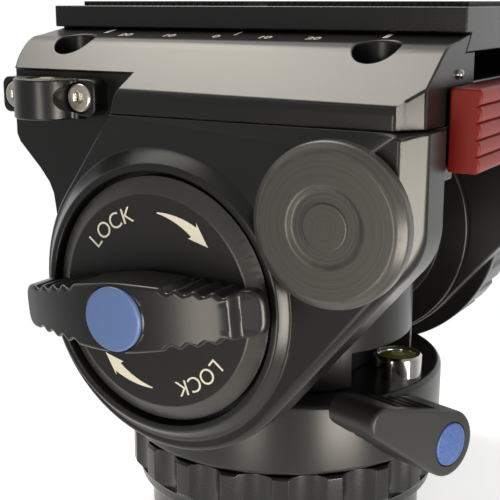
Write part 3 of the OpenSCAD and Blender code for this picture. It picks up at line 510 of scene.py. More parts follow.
def on_circle(centre, radius, angle):
    turn = math.radians(angle)
    return centre + Vector((radius * math.cos(turn), radius * math.sin(turn)))


def arc(centre, radius, start, finish, count):
    """Evenly spaced points of an arc, without its last point."""
    return [on_circle(centre, radius, start + (finish - start) * k / count) for k in range(count)]


def stretch(a, b, count):
    """Evenly spaced points of a straight stretch, without its last point."""
    return [a.lerp(b, k / count) for k in range(count)]


def stretch_shares(last, count):
    """Evenly spaced shares from nothing up to a last one, which is left out."""
    return [last * k / count for k in range(count)]


def run_through(runs):
    """All points of an outline, with a value at each that runs evenly along every stretch."""
    points, values = [], []
    for run, first, last in runs:
        points += run
        values += [first + (last - first) * k / len(run) for k in range(len(run))]
    return points, values


def outward(points):
    """Outward directions of a closed outline drawn anticlockwise."""
    count = len(points)
    result = []
    for k in range(count):
        along = (points[(k + 1) % count] - points[k - 1]).normalized()
        result.append(Vector((along.y, -along.x)))
    return result


def shrunk(points, normals, inset):
    """An outline pulled inwards, by one inset or by one for each point."""
    insets = inset if isinstance(inset, list) else [inset] * len(points)
    return [p - n * d for p, n, d in zip(points, normals, insets)]


def edge_steps(width):
    """Inset and drop at each step over a rounded edge, from the face to the side."""
    turns = [math.radians(18 * k) for k in range(6)]
    return [(width * (1 - math.sin(turn)), width * (1 - math.cos(turn))) for turn in turns]


def ring_at(x, points):
    """An outline in Y and Z, set at one place along X or at one for each point."""
    places = x if isinstance(x, list) else [x] * len(points)
    return [Vector((place, p.x, p.y)) for place, p in zip(places, points)]


def round_ring(x, radius, points):
    """A circle with one point towards each point of an outline."""
    return [Vector((x, *(p.normalized() * radius))) for p in points]


def between(starts, ends, shares):
    """Outlines on the way from one outline to another, each point at its own shares of the way."""
    for column in zip(*shares):
        yield [a.lerp(b, share) for a, b, share in zip(starts, ends, column)]


def lofted(rings, closed=True):
    """A skin drawn through rings of points, each ring extruded from the one before."""
    bm = bmesh.new()
    first = bmesh.ops.create_circle(bm, segments=len(rings[0]), radius=1.0, cap_ends=False)["verts"]
    order = {vert: k for k, vert in enumerate(first)}
    for vert, k in order.items():
        vert.co = rings[0][k]
    edges = list(bm.edges)
    if closed:
        bmesh.ops.contextual_create(bm, geom=edges)
    for ring in rings[1:]:
        made = bmesh.ops.extrude_edge_only(bm, edges=edges)["geom"]
        fresh = [g for g in made if isinstance(g, bmesh.types.BMVert)]
        lines = [g for g in made if isinstance(g, bmesh.types.BMEdge)]
        edges = [line for line in lines if all(v in fresh for v in line.verts)]
        links = {}
        for vert in fresh:
            partners = [e.other_vert(vert) for e in vert.link_edges]
            links[vert] = next(order[p] for p in partners if p in order)
        for vert, k in links.items():
            vert.co = ring[k]
        order = links
    if closed:
        bmesh.ops.contextual_create(bm, geom=edges)
    bmesh.ops.scale(bm, verts=bm.verts, vec=(MM, MM, MM))
    return sealed(bm)


def lathe(profile, steps=96):
    """A profile of radius and height turned about the X axis."""
    bm = bmesh.new()
    verts = [bm.verts.new((x * MM, 0, r * MM)) for r, x in profile]
    edges = [bm.edges.new(pair) for pair in zip(verts, verts[1:])]
    bmesh.ops.spin(
        bm, geom=verts + edges, cent=(0, 0, 0), axis=(1, 0, 0), dvec=(0, 0, 0),
        angle=2 * math.pi, steps=steps, use_merge=True,
    )
    return sealed(bm)


def set_at(bm, place, turn):
    """Turns a shape that was made about the origin and moves it to its place."""
    bm.transform(Matrix.Translation(place) @ turn)


def join_into(target, other):
    mesh = bpy.data.meshes.new("joined")
    other.to_mesh(mesh)
    other.free()
    target.from_mesh(mesh)
    bpy.data.meshes.remove(mesh)


def combined(bm, steps):
    """A solid joined with or cut by others, one after the other."""
    holders = [new_object(part, "solid") for part in [bm] + [tool for _, tool in steps]]
    for (operation, _), tool in zip(steps, holders[1:]):
        step = holders[0].modifiers.new("step", "BOOLEAN")
        step.operation = operation
        step.solver = "EXACT"
        step.object = tool
    ready = holders[0].evaluated_get(bpy.context.evaluated_depsgraph_get())
    mesh = bpy.data.meshes.new_from_object(ready)
    result = bmesh.new()
    result.from_mesh(mesh)
    bpy.data.meshes.remove(mesh)
    for holder in holders:
        bpy.data.meshes.remove(holder.data)
    bmesh.ops.remove_doubles(result, verts=result.verts, dist=2e-6)
    return result


# Grip scallops and the knob's wing, in millimetres about the tilt axis

NOTCH_PITCH = 3.2
NOTCH_DEEP = 0.75
NOTCHES = 4
WING_FACE = 63.7
WING_BACK = 53.3
WING_HALF = 25.6
WING_STRAIGHT = 22.0
WING_MID = 6.4
WING_TIP = 4.2
WING_SOFT = 4.0
WING_CURVE = 56.8
WING_EDGE = 0.75
WING_TURN = math.radians(-5.6)
WING_NOTCH = 10.8
WING_END_POWER = 2 / 3.2
WING_STEP = 21.1
WING_STEP_RUN = 0.9
WING_STEP_DEEP = 2.6
WING_STEP_RINGS = (21.0, 21.3, 21.5, 21.7, 21.9, 22.1)
WING_FACE_STEPS = 9
WING_LATE = 0.93
WING_LATE_STEP = 0.01
WING_SOCKET = ((6.0, 2.9), (6.0, 0.3), (6.1, 0.1))
WING_SOCKET_RIM = 6.3
WING_NECK = (2.0, 20.8, 10.2)
WING_NECK_EDGE = 0.4


def scallop(place, start):
    """Depth of a smooth row of grip scallops at a place along the edge."""
    if not start - NOTCH_PITCH / 2 < place < start + NOTCH_PITCH * (NOTCHES - 0.5):
        return 0.0
    return NOTCH_DEEP / 2 * (1 + math.cos(2 * math.pi * (place - start) / NOTCH_PITCH))


def wing_fall(y):
    """Distance from the wing's middle, softened so that the wing has no peak there."""
    return math.sqrt(y * y + WING_SOFT ** 2) - WING_SOFT


def wing_half_height(y):
    return WING_MID - (WING_MID - WING_TIP) * wing_fall(y) / wing_fall(WING_STRAIGHT)


def wing_outline():
    """The lens of the wing with scalloped grips near its ends, anticlockwise in Y and Z."""
    side_steps = 176
    end_steps = 28
    half = []
    for k in range(side_steps):
        y = WING_STRAIGHT - 2 * WING_STRAIGHT * k / side_steps
        half.append(Vector((y, wing_half_height(y) - scallop(abs(y), WING_NOTCH))))
    for k in range(end_steps):
        turn = math.pi / 2 + math.pi * k / end_steps
        y = -WING_STRAIGHT - (WING_HALF - WING_STRAIGHT) * abs(math.cos(turn)) ** WING_END_POWER
        z = math.copysign(WING_TIP * abs(math.sin(turn)) ** WING_END_POWER, math.sin(turn))
        half.append(Vector((y, z)))
    return half + [-p for p in half]


def wing_face_x(y):
    """Depth of the wing's curved face, with the step near its rear end."""
    rise = clamped((-y - WING_STEP) / WING_STEP_RUN)
    step = WING_STEP_DEEP * rise * rise * (3 - 2 * rise)
    return WING_CURVE - WING_FACE - math.sqrt(WING_CURVE ** 2 - y * y) + step


def wing_shares(start, finish):
    """Shares of the way from the socket to the edge, close together where the step is."""
    stops = [WING_LATE + WING_LATE_STEP * k for k in range(len(WING_STEP_RINGS))]
    reach = abs(finish.x) - abs(start.x)
    if reach > 1:
        stops = [min((y - abs(start.x)) / reach, stop) for y, stop in zip(WING_STEP_RINGS, stops)]
    return stretch_shares(stops[0], WING_FACE_STEPS) + stops + [1.0]


def wing_neck():
    """The block between the wing and the knob's disc."""
    neck = bmesh.new()
    bmesh.ops.create_cube(neck, size=1.0)
    bmesh.ops.scale(neck, verts=neck.verts, vec=tuple(size * MM for size in WING_NECK))
    bmesh.ops.translate(neck, verts=neck.verts, vec=(WING_NECK[0] / 2 * MM - WING_BACK * MM, 0, 0))
    round_edges(neck, WING_NECK_EDGE)
    return neck


def knob_wing():
    outline = wing_outline()
    normals = outward(outline)
    inner = shrunk(outline, normals, WING_EDGE)
    rings = [round_ring(depth - WING_FACE, radius, inner) for radius, depth in WING_SOCKET]
    socket = [p.normalized() * WING_SOCKET_RIM for p in inner]
    shares = [wing_shares(a, b) for a, b in zip(socket, inner)]
    for flat in between(socket, inner, shares):
        rings.append(ring_at([wing_face_x(p.x) for p in flat], flat))
    for inset, drop in edge_steps(WING_EDGE)[1:]:
        flat = shrunk(outline, normals, inset)
        rings.append(ring_at([min(wing_face_x(p.x) + drop, -WING_BACK) for p in flat], flat))
    rings.append(ring_at(-WING_BACK, outline))
    bm = lofted(rings)
    join_into(bm, wing_neck())
    set_at(bm, (0, 0, TILT_Z), Matrix.Rotation(WING_TURN, 4, "X"))
    in_place_of("knob_wing", bm, "knob_wing_grip", CASTING)


# Pan lock lever, in millimetres about its hub

LEVER_HUB = 6.8
LEVER_TIP = 3.0
LEVER_REACH = 22.7
LEVER_BACK = 36.4
LEVER_FACE = 47.8
LEVER_EDGE = 0.7
LEVER_NOTCH = 7.4
LEVER_SEAT = ((4.5, 1.4), (4.5, 0.25), (4.7, 0.0))
LEVER_COLLAR = (1.6, 1.8)
LEVER_GRIP_TOP = 2.0
LEVER_FOOT = ((0.4, 0.0), (0.1, 0.1), (0.0, 0.4))
LEVER_DROOP = math.radians(-25.4)
LEVER_SWING = math.radians(-108)
LEVER_Z = (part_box("pan_lever_cap")[0].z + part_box("pan_lever_cap")[1].z) / 2
LEVER_PLACE = Matrix.Translation((0, 0, LEVER_Z)) @ Matrix.Rotation(LEVER_SWING, 4, "Z")


def lever_outline():
    """Hub and tip joined by tangents, anticlockwise in the lever's own Y and Z."""
    touch = 180 - math.degrees(math.acos((LEVER_HUB - LEVER_TIP) / LEVER_REACH))
    hub = Vector((0, 0))
    tip = Vector((-LEVER_REACH, 0))
    side_steps = 110
    inner = on_circle(hub, LEVER_HUB, touch)
    outer = on_circle(tip, LEVER_TIP, touch)
    points = arc(hub, LEVER_HUB, -touch, touch, 80)
    points += stretch(inner, outer, side_steps)
    points += arc(tip, LEVER_TIP, touch, 360 - touch, 36)
    return points + stretch(Vector((outer.x, -outer.y)), Vector((inner.x, -inner.y)), side_steps)


def pan_lever_arm():
    outline = lever_outline()
    normals = outward(outline)
    waves = [scallop(-p.x, LEVER_NOTCH) for p in outline]
    inner = shrunk(outline, normals, LEVER_EDGE)
    rings = [round_ring(LEVER_FACE - depth, radius, inner) for radius, depth in LEVER_SEAT]
    for inset, drop in edge_steps(LEVER_EDGE):
        rings.append(ring_at(LEVER_FACE - drop, shrunk(outline, normals, inset)))
    rings += [ring_at(LEVER_FACE - depth, outline) for depth in LEVER_COLLAR]
    grip = [(LEVER_FACE - LEVER_GRIP_TOP, 0.0)]
    grip += [(LEVER_BACK + height, inset) for height, inset in LEVER_FOOT]
    for x, inset in grip:
        rings.append(ring_at(x, shrunk(outline, normals, [inset + wave for wave in waves])))
    bm = lofted(rings)
    bm.transform(LEVER_PLACE @ Matrix.Rotation(LEVER_DROOP, 4, "X"))
    in_place_of("pan_lever", bm, "pan_lever_arm", LEVER_PAINT)


# Blue caps, in millimetres

CAP_RIM = 0.35
CAP_CROWN = 0.06
KNOB_CAP_R = 5.85
KNOB_CAP_THICK = 3.6
KNOB_CAP_RISE = 0.7
LEVER_CAP_R = 4.4
LEVER_CAP_THICK = 1.8
LEVER_CAP_RISE = 0.3


def cap_profile(radius, thick):
    """Bare disc, very slightly domed, with a rounded rim; X grows out of the face."""
    flat = radius - CAP_RIM
    dome = [(flat * k / 6, -CAP_CROWN * (k / 6) ** 2) for k in range(7)]
    rim = [(radius - inset, -CAP_CROWN - drop) for inset, drop in edge_steps(CAP_RIM)[1:]]
    return dome + rim + [(radius, -thick), (0, -thick)]


def blue_caps():
    knob = lathe(cap_profile(KNOB_CAP_R, KNOB_CAP_THICK))
    set_at(knob, (-(WING_FACE + KNOB_CAP_RISE) * MM, 0, TILT_Z), TO_NEAR)
    in_place_of("knob_cap", knob, "knob_cap_disc", BLUE)
    lever = lathe(cap_profile(LEVER_CAP_R, LEVER_CAP_THICK))
    lever.transform(LEVER_PLACE @ Matrix.Translation(((LEVER_FACE + LEVER_CAP_RISE) * MM, 0, 0)))
    in_place_of("pan_lever_cap", lever, "pan_lever_cap_disc", LEVER_BLUE)


# Release lever, in millimetres

RELEASE_LOW, RELEASE_HIGH = (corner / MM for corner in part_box("release_lever"))
RELEASE_MID = (RELEASE_LOW + RELEASE_HIGH) / 2
RELEASE_PIN_X = 12.0
RELEASE_BAR_END = RELEASE_PIN_X - 2.4
RELEASE_CORNER = 0.6
RELEASE_EDGE = 0.5
RELEASE_HALF_Y = 2.8
RELEASE_HALF_Z = 7.2
RELEASE_HUB_R = 2.85
RELEASE_BORE_R = 2.1
RIDGES = 5
RIDGE_DEEP = 0.85


def release_outline():
    """Section of the release lever in Y and Z, anticlockwise, with rounded ridges on its rear."""
    front = RELEASE_HIGH.y - RELEASE_CORNER
    points = arc(Vector((front, RELEASE_LOW.z + RELEASE_CORNER)), RELEASE_CORNER, -90, 15, 7)
    points += arc(Vector((front, RELEASE_HIGH.z - RELEASE_CORNER)), RELEASE_CORNER, 0, 105, 7)
    height = RELEASE_HIGH.z - RELEASE_LOW.z
    steps = 100
    for k in range(steps + 1):
        share = k / steps
        across = 2 * (share * RIDGES % 1.0) - 1 if 0 < k < steps else -1.0
        hollow = RIDGE_DEEP * (1 - math.sqrt(max(0.0, 1 - across * across)))
        points.append(Vector((RELEASE_LOW.y + hollow, RELEASE_HIGH.z - height * share)))
    return points


def release_hub():
    """The round end of the lever with the bore for its pin."""
    pin = Vector((RELEASE_PIN_X, RELEASE_MID.y))
    side = Vector((0, RELEASE_HUB_R))
    front = Vector((RELEASE_BAR_END, RELEASE_MID.y)) + side
    rear = Vector((RELEASE_BAR_END, RELEASE_MID.y)) - side
    hub = arc(pin, RELEASE_HUB_R, -90, 90, 23) + [pin + side] + stretch(front, rear, 7) + [rear]
    bore = [pin + (p - pin).normalized() * RELEASE_BORE_R for p in hub]
    low, high = RELEASE_LOW.z, RELEASE_HIGH.z
    turns = [(hub, low), (hub, high), (bore, high), (bore, low), (hub, low)]
    return lofted([[Vector((p.x, p.y, z)) for p in flat] for flat, z in turns], closed=False)


def release_lever_bar():
    outline = release_outline()
    rings = []
    for inset, drop in edge_steps(RELEASE_EDGE):
        flat = []
        for p in outline:
            y = p.x + (RELEASE_MID.y - p.x) * inset / RELEASE_HALF_Y
            z = p.y + (RELEASE_MID.z - p.y) * inset / RELEASE_HALF_Z
            flat.append(Vector((y, z)))
        rings.append(ring_at(RELEASE_LOW.x + drop, flat))
    rings.append(ring_at(RELEASE_BAR_END, outline))
    bm = lofted(rings)
    join_into(bm, release_hub())
    in_place_of("release_lever", bm, "release_lever_bar", RED)


# Near cheek, in millimetres about the tilt axis

CHEEK_R = 30.3
CHEEK_CORNER = Vector((-37.5, 17.6))
CHEEK_CORNER_R = 13.0
CHEEK_REAR = -50.5
CHEEK_TOP = 33.6
CHEEK_FRONT = 12.9
CHEEK_FACE = -46.9
CHEEK_LEAN = 0.0473
CHEEK_FACE_STEPS = 6
CHEEK_FACET_X = -49.72
CHEEK_FACET_Y = -46.71
CHEEK_CUT = -41.02
CHEEK_CUT_CLEAR = 0.3
CHEEK_REST_EDGE = 0.35
SEAM_FACE = -46.7
SEAM_STEEP = 0.2
SEAM_GENTLE = 1.4
SEAM_NARROW = 46.5
SEAM_NARROW_RUN = 6.0
BEZEL_LIP = (
    (24.2, -46.55), (24.2, -50.25), (24.3, -50.5), (24.6, -50.6),
    (25.3, -50.6), (25.6, -50.52), (25.8, -50.35),
)
BEZEL_R = 25.7
BEZEL_FACE = -50.6
BEZEL_SLOPE = 1.239
BEZEL_FOOT = 34.935
BEZEL_FOOT_STEPS = ((-0.7, 0.0), (-0.25, 0.0), (0.0, -0.1))
BEZEL_FOOT_SOFT = 0.25
CREASE_CLEAR = 0.4
CREASE_SOFT = 0.35
CREASE_LATE = 0.7
POST_FACE = -50.0
POST_R = 13.0
POST_CHAMFER = 0.4
POST_DEEP = 6.0


def cheek_face_x(y):
    return CHEEK_FACE - CHEEK_LEAN * (CHEEK_FRONT - y)


def cheek_skin_x(p):
    """Depth of the cheek's outer skin: the leaning face, the rear facet and the slope along the seam."""
    facet = CHEEK_FACET_X + CHEEK_FACET_Y - p.x
    near = clamped((p.x + SEAM_NARROW) / SEAM_NARROW_RUN)
    slope = SEAM_FACE - (CHEEK_TOP - p.y) / (SEAM_STEEP + SEAM_GENTLE * near)
    return max(cheek_face_x(p.x), facet, slope)


def cheek_outline():
    """Outline in Y and Z, anticlockwise, with the width of the edge rounding at each point."""
    axis = Vector((0, 0))
    top_front = Vector((CHEEK_FRONT, CHEEK_TOP))
    top_rear = Vector((CHEEK_REAR, CHEEK_TOP))
    rear = Vector((CHEEK_REAR, CHEEK_CORNER.y))
    rise = math.degrees(math.atan2(CHEEK_TOP, CHEEK_FRONT) - math.acos(CHEEK_R / top_front.length))
    lean = math.acos((CHEEK_R - CHEEK_CORNER_R) / CHEEK_CORNER.length)
    fall = math.degrees(math.atan2(CHEEK_CORNER.y, CHEEK_CORNER.x) + lean)
    front = on_circle(axis, CHEEK_R, rise)
    low_rear = on_circle(CHEEK_CORNER, CHEEK_CORNER_R, fall)
    low_front = on_circle(axis, CHEEK_R, fall)
    runs = [
        (stretch(front, top_front, 30), 0.8, 0.5),
        (stretch(top_front, top_rear, 90), 0.25, 0.25),
        (stretch(top_rear, rear, 24), 0.4, 0.6),
        (arc(CHEEK_CORNER, CHEEK_CORNER_R, 180, fall, 20), 0.6, 2.0),
        (stretch(low_rear, low_front, 56), 2.0, 1.5),
        (arc(axis, CHEEK_R, fall, fall + 25, 24), 1.5, 0.85),
        (arc(axis, CHEEK_R, fall + 25, rise + 360, 140), 0.85, 0.8),
    ]
    return run_through(runs)


def crease_share(start, finish):
    """How far along a ray the cheek's face ends and a facet or the seam's slope begins."""
    steps = 400
    for k in range(steps):
        p = start.lerp(finish, k / steps)
        if cheek_skin_x(p) > cheek_face_x(p.x) + 0.01:
            return k / steps
    return 1.0


def face_shares(start, finish):
    """Shares of the way from the bezel to the edge, close together at the crease."""
    reach = max((finish - start).length, 0.01)
    fold = min(crease_share(start, finish), 1 - CREASE_CLEAR / reach) if reach > 2 else 0.9
    soft = min(CREASE_SOFT / reach, 0.05)
    late = max(fold + soft, 1 - CREASE_LATE / reach)
    return stretch_shares(fold - soft, CHEEK_FACE_STEPS) + [fold - soft, fold, fold + soft, late, 1.0]


def bezel_foot(p):
    """Radius at which the bezel's slope meets the leaning face, towards a point."""
    return BEZEL_FOOT / (BEZEL_SLOPE - CHEEK_LEAN * p.normalized().x)


def cheek_skin():
    """The outer skin, from the bezel's bore over its lip and foot, the face and the rounded edge."""
    outline, widths = cheek_outline()
    normals = outward(outline)
    inner = shrunk(outline, normals, widths)
    rings = [round_ring(x, radius, inner) for radius, x in BEZEL_LIP]
    foot = [bezel_foot(p) for p in inner]
    for away, lift in BEZEL_FOOT_STEPS:
        flat = [p.normalized() * (f + away) for p, f in zip(inner, foot)]
        depths = [BEZEL_FACE + BEZEL_SLOPE * (p.length - BEZEL_R) + lift for p in flat]
        rings.append(ring_at(depths, flat))
    start = [p.normalized() * (f + BEZEL_FOOT_SOFT) for p, f in zip(inner, foot)]
    shares = [face_shares(a, b) for a, b in zip(start, inner)]
    for flat in between(start, inner, shares):
        rings.append(ring_at([cheek_skin_x(p) for p in flat], flat))
    for inset, drop in edge_steps(1.0)[1:]:
        flat = shrunk(outline, normals, [w * inset for w in widths])
        depths = [min(cheek_skin_x(p) + w * drop, CHEEK_CUT) for p, w in zip(flat, widths)]
        rings.append(ring_at(depths, flat))
    rings.append(ring_at(CHEEK_CUT, outline))
    skin = lofted(rings)
    bmesh.ops.translate(skin, verts=skin.verts, vec=(0, 0, TILT_Z))
    return skin


def clear_of_cut(edge):
    """Edges that don't lie in the cut, or that stand in front of the cheek's top."""
    spot = middle(edge)
    return spot.x > CHEEK_CUT + CHEEK_CUT_CLEAR or spot.y > CHEEK_FRONT + 1


def cheek_rest():
    """What lies behind the skin: the CAD node, cut off at a plane and closed again."""
    rest = solid_copy("near_cheek")
    everything = rest.verts[:] + rest.edges[:] + rest.faces[:]
    cut = (CHEEK_CUT * MM, 0, 0)
    bmesh.ops.bisect_plane(rest, geom=everything, plane_co=cut, plane_no=(-1, 0, 0), clear_outer=True)
    bmesh.ops.holes_fill(rest, edges=[e for e in rest.edges if e.is_boundary])
    round_edges(rest, CHEEK_REST_EDGE, 2, clear_of_cut)
    return rest


def boss_post():
    """The round post that carries the boss cap."""
    face = [(0, 0), (POST_R - POST_CHAMFER, 0), (POST_R, -POST_CHAMFER)]
    post = lathe(face + [(POST_R, -POST_DEEP), (0, -POST_DEEP)], 64)
    set_at(post, (POST_FACE * MM, BOSS_CENTRE[1], BOSS_CENTRE[2]), TO_NEAR)
    return post


def near_cheek():
    bm = cheek_skin()
    join_into(bm, cheek_rest())
    join_into(bm, boss_post())
    in_place_of("near_cheek", bm, "near_cheek_casting", CASTING)


# Level bracket, in millimetres

BRACKET_LOW, BRACKET_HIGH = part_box("level_bracket")
BRACKET_BOSS_R = 6.5
BRACKET_BOSS_EDGE = 0.4
BRACKET_FILLET = 1.5
BRACKET_OVERLAP = 2.0
BRACKET_OUT = BRACKET_LOW.x / MM + BRACKET_BOSS_R
BRACKET_MID = (BRACKET_LOW.y + BRACKET_HIGH.y) / (2 * MM)
BRACKET_FLOOR = BRACKET_LOW.z / MM
BRACKET_TOP = BRACKET_HIGH.z / MM
EAR_R = 1.6
EAR_EDGE = 0.35
EAR_RISE = 0.6
EAR_DROP = 0.06
HEAD_R = 3.05
HEAD_SEAT = 1.4
HEAD_ROOM = 12.0
SHANK_R = 1.6
SHANK_ROOM = -3.0
POCKET_R = 4.0
POCKET_FLOOR = -2.6
POCKET_ROOM = 1.4


def bracket_ears():
    """The flat ears with rounded corners and a rounded outer edge."""
    half = (BRACKET_HIGH.y - BRACKET_LOW.y) / (2 * MM) - EAR_R
    low = BRACKET_FLOOR + EAR_RISE + EAR_R
    high = BRACKET_TOP - EAR_DROP - EAR_R
    outline = []
    for y, z, start in ((half, low, -90), (half, high, 0), (-half, high, 90), (-half, low, 180)):
        corner = Vector((BRACKET_MID + y, z))
        outline += arc(corner, EAR_R, start, start + 90, 8)
        outline.append(on_circle(corner, EAR_R, start + 90))
    normals = outward(outline)
    rings = [ring_at(BRACKET_HIGH.x / MM, outline)]
    for drop, inset in edge_steps(EAR_EDGE):
        rings.append(ring_at(BRACKET_OUT + drop, shrunk(outline, normals, inset)))
    return lofted(rings)


def bracket_boss():
    """The round boss for the vial, blended into the ears by fillets."""
    reach = BRACKET_BOSS_R + BRACKET_FILLET
    lean = math.degrees(math.asin(BRACKET_FILLET / reach))
    aside = reach * math.cos(math.radians(lean))
    centre = Vector((BRACKET_OUT, BRACKET_MID))
    rear = centre + Vector((-BRACKET_FILLET, -aside))
    front = centre + Vector((-BRACKET_FILLET, aside))
    inside = [centre + Vector((BRACKET_OVERLAP, side)) for side in (-aside, aside)]
    runs = [
        (arc(front, BRACKET_FILLET, -8, -90 + lean, 10), 0.1, 1.0),
        (arc(centre, BRACKET_BOSS_R, 90 + lean, 270 - lean, 56), 1.0, 1.0),
        (arc(rear, BRACKET_FILLET, 90 - lean, 0, 10), 1.0, 0.1),
        (inside, 0.0, 0.0),
    ]
    outline, shares = run_through(runs)
    normals = outward(outline)
    steps = edge_steps(BRACKET_BOSS_EDGE)
    rings = []
    for z, up, order in ((BRACKET_FLOOR, 1, steps), (BRACKET_TOP, -1, steps[::-1])):
        for inset, drop in order:
            flat = shrunk(outline, normals, [inset * share for share in shares])
            rings.append([Vector((p.x, p.y, z + up * drop)) for p in flat])
    return lofted(rings)


def level_bracket_block():
    """Ears and boss as one solid, with the holes for its screws and the pocket for its vial."""
    steps = [("UNION", bracket_boss())]
    for y in BRACKET_SCREWS:
        shank = [(0, SHANK_ROOM), (SHANK_R, SHANK_ROOM), (SHANK_R, HEAD_SEAT)]
        hole = lathe(shank + [(HEAD_R, HEAD_SEAT), (HEAD_R, HEAD_ROOM), (0, HEAD_ROOM)], 64)
        set_at(hole, (BRACKET_HIGH.x, y * MM, BRACKET_SCREW_Z * MM), TO_NEAR)
        steps.append(("DIFFERENCE", hole))
    floor = [(0, POCKET_FLOOR), (POCKET_R, POCKET_FLOOR)]
    pocket = lathe(floor + [(POCKET_R, POCKET_ROOM), (0, POCKET_ROOM)], 64)
    set_at(pocket, (BRACKET_OUT * MM, BRACKET_MID * MM, BRACKET_HIGH.z), TO_TOP)
    steps.append(("DIFFERENCE", pocket))
    in_place_of("level_bracket", combined(bracket_ears(), steps), "level_bracket_block", CASTING)


# Rail pin and level vials: radius and height along their profiles, in millimetres

PIN_PROFILE = ((0, 0.9), (0.4, 0.86), (0.75, 0.66), (0.9, 0.35), (0.9, -0.6), (0, -0.6))
PIN_X = -28.1
PIN_Z = 101.6
BUBBLE_PROFILE = ((0, 0.04), (0.9, 0.03), (1.4, -0.01), (1.6, -0.09), (1.5, -0.2), (0, -0.2))
DOME_SPREAD = 1.05
DOME_SAG = 0.5
DOME_SHARE = 0.69


def rail_stop_pin():
    """Small domed pin on the rear end of the near rail."""
    pin = lathe(PIN_PROFILE, 40)
    set_at(pin, (PIN_X * MM, RAIL_REAR, PIN_Z * MM), TO_REAR)
    keep(pin, "rail_stop_pin", "tilt_frame", STEEL)


def vial_dome(radius):
    """Profile of a vial's shallow dome, from its middle to its rim."""
    points = []
    for k in range(13):
        turn = math.radians(6 * k)
        sag = -DOME_SAG * (1 - math.cos(turn)) / DOME_SHARE
        points.append((min(radius * math.sin(turn) * DOME_SPREAD, radius), sag))
    return points


def level_vials():
    """Domed vials, each with a bubble under the middle of its dome."""
    for node, name in (("base_level_vial", "base_level"), ("level_vial", "plate_level")):
        low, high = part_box(node)
        radius = (high.x - low.x) / (2 * MM)
        height = (high.z - low.z) / MM
        top = ((low.x + high.x) / 2, (low.y + high.y) / 2, high.z)
        vial = lathe(vial_dome(radius) + [(radius, -height), (0, -height)])
        set_at(vial, top, TO_TOP)
        in_place_of(node, vial, name + "_fluid", FLUID)
        bubble = lathe(BUBBLE_PROFILE, 48)
        set_at(bubble, top, TO_TOP)
        keep(bubble, name + "_bubble", NODE_BODY[node], BUBBLE)


# Print on the knob and on the plate's rail, in millimetres and degrees

INK = 0.03
INK_THICK = 0.02
CAPITAL_SHARE = 0.69
ARROW_TAIL = -3.0
ARROW_SWEEP = 29.0
ARROW_TIP = -45.3
ARROW_RADIUS = 16.7
ARROW_BEND = 0.25
ARROW_THIN = 0.12
ARROW_GROWTH = 0.95
ARROW_HEAD = 1.75
ARROW_BARB = 1.5
LOCK_LETTERS = (("L", 52.4), ("O", 42.2), ("C", 31.0), ("K", 20.6))
LOCK_RADIUS = 15.4
LOCK_HEIGHT = 2.95
LOCK_BOLD = -0.006
RAIL_NUMBERS = (("20", 21.5), ("10", 11.0), ("0", 0.0), ("10", -10.7), ("20", -21.0))
RAIL_NUMBER_HEIGHT = 2.0
RAIL_NUMBER_UP = 0.3
RAIL_NUMBER_BOLD = 0.03
RAIL_LINES = ((27.9, 1.0), (-3.1, 0.4), (-34.3, 1.0))
RAIL_LINE_LONG = 3.4
RAIL_LINE_UP = 4.4


def knob_place(radius, angle):
    """Point on the knob's face; the angle about the tilt axis runs from the top towards the front."""
    lean = math.radians(angle)
    y = radius * MM * math.sin(lean)
    return Vector((KNOB_FACE_X - INK * MM, y, TILT_Z + radius * MM * math.cos(lean)))


def facing(right, up):
    """Turn that lays a flat shape on a face with these two directions."""
    return Matrix((right, up, right.cross(up))).transposed().to_4x4()


def printed(text, height, right, up, place, bold):
    """Printed words, flat on a face, centred on a place on their base line."""
    curve = bpy.data.curves.new("print", "FONT")
    curve.body = text
    curve.size = height * MM / CAPITAL_SHARE
    curve.align_x = "CENTER"
    curve.align_y = "BOTTOM_BASELINE"
    curve.offset = bold * height * MM
    curve.extrude = INK_THICK * MM
    holder = bpy.data.objects.new("print", curve)
    scene.collection.objects.link(holder)
    mesh = bpy.data.meshes.new_from_object(holder)
    bpy.data.objects.remove(holder)
    bm = bmesh.new()
    bm.from_mesh(mesh)
    bpy.data.meshes.remove(mesh)
    set_at(bm, place, facing(right, up))
    bmesh.ops.remove_doubles(bm, verts=bm.verts, dist=SAME_PLACE)
    return bm


def curved_arrow():
    """Tapered arrow that sweeps clockwise, from a thin tail to a broad head."""
    bm = bmesh.new()
    low = bm.verts.new(knob_place(ARROW_RADIUS - 0.1, ARROW_TAIL))
    high = bm.verts.new(knob_place(ARROW_RADIUS + 0.1, ARROW_TAIL))
    tail = bm.edges.new((low, high))
    centre = Vector((low.co.x, 0, TILT_Z))
    spun = bmesh.ops.spin(
        bm, geom=[tail], cent=centre, axis=(1, 0, 0), dvec=(0, 0, 0),
        angle=math.radians(ARROW_SWEEP), steps=14,
    )
    for vert in bm.verts:
        flat = vert.co - centre
        angle = math.degrees(math.atan2(flat.y, flat.z))
        along = (ARROW_TAIL - angle) / ARROW_SWEEP
        half = (ARROW_THIN + ARROW_GROWTH * along) * MM
        side = 1 if flat.length > ARROW_RADIUS * MM else -1
        radius = (ARROW_RADIUS + ARROW_BEND * (1 - along)) * MM + side * half
        vert.co = centre + flat.normalized() * radius
    ends = [v for v in spun["geom_last"] if isinstance(v, bmesh.types.BMVert)]
    inner, outer = sorted(ends, key=lambda v: (v.co - centre).length)
    barb = ARROW_TAIL - ARROW_SWEEP + ARROW_BARB
    corners = [(-ARROW_HEAD, barb), (-0.05, ARROW_TIP), (ARROW_HEAD, barb)]
    points = [bm.verts.new(knob_place(ARROW_RADIUS + out, angle)) for out, angle in corners]
    bm.faces.new([inner, *points, outer])
    bmesh.ops.recalc_face_normals(bm, faces=bm.faces)
    return bm


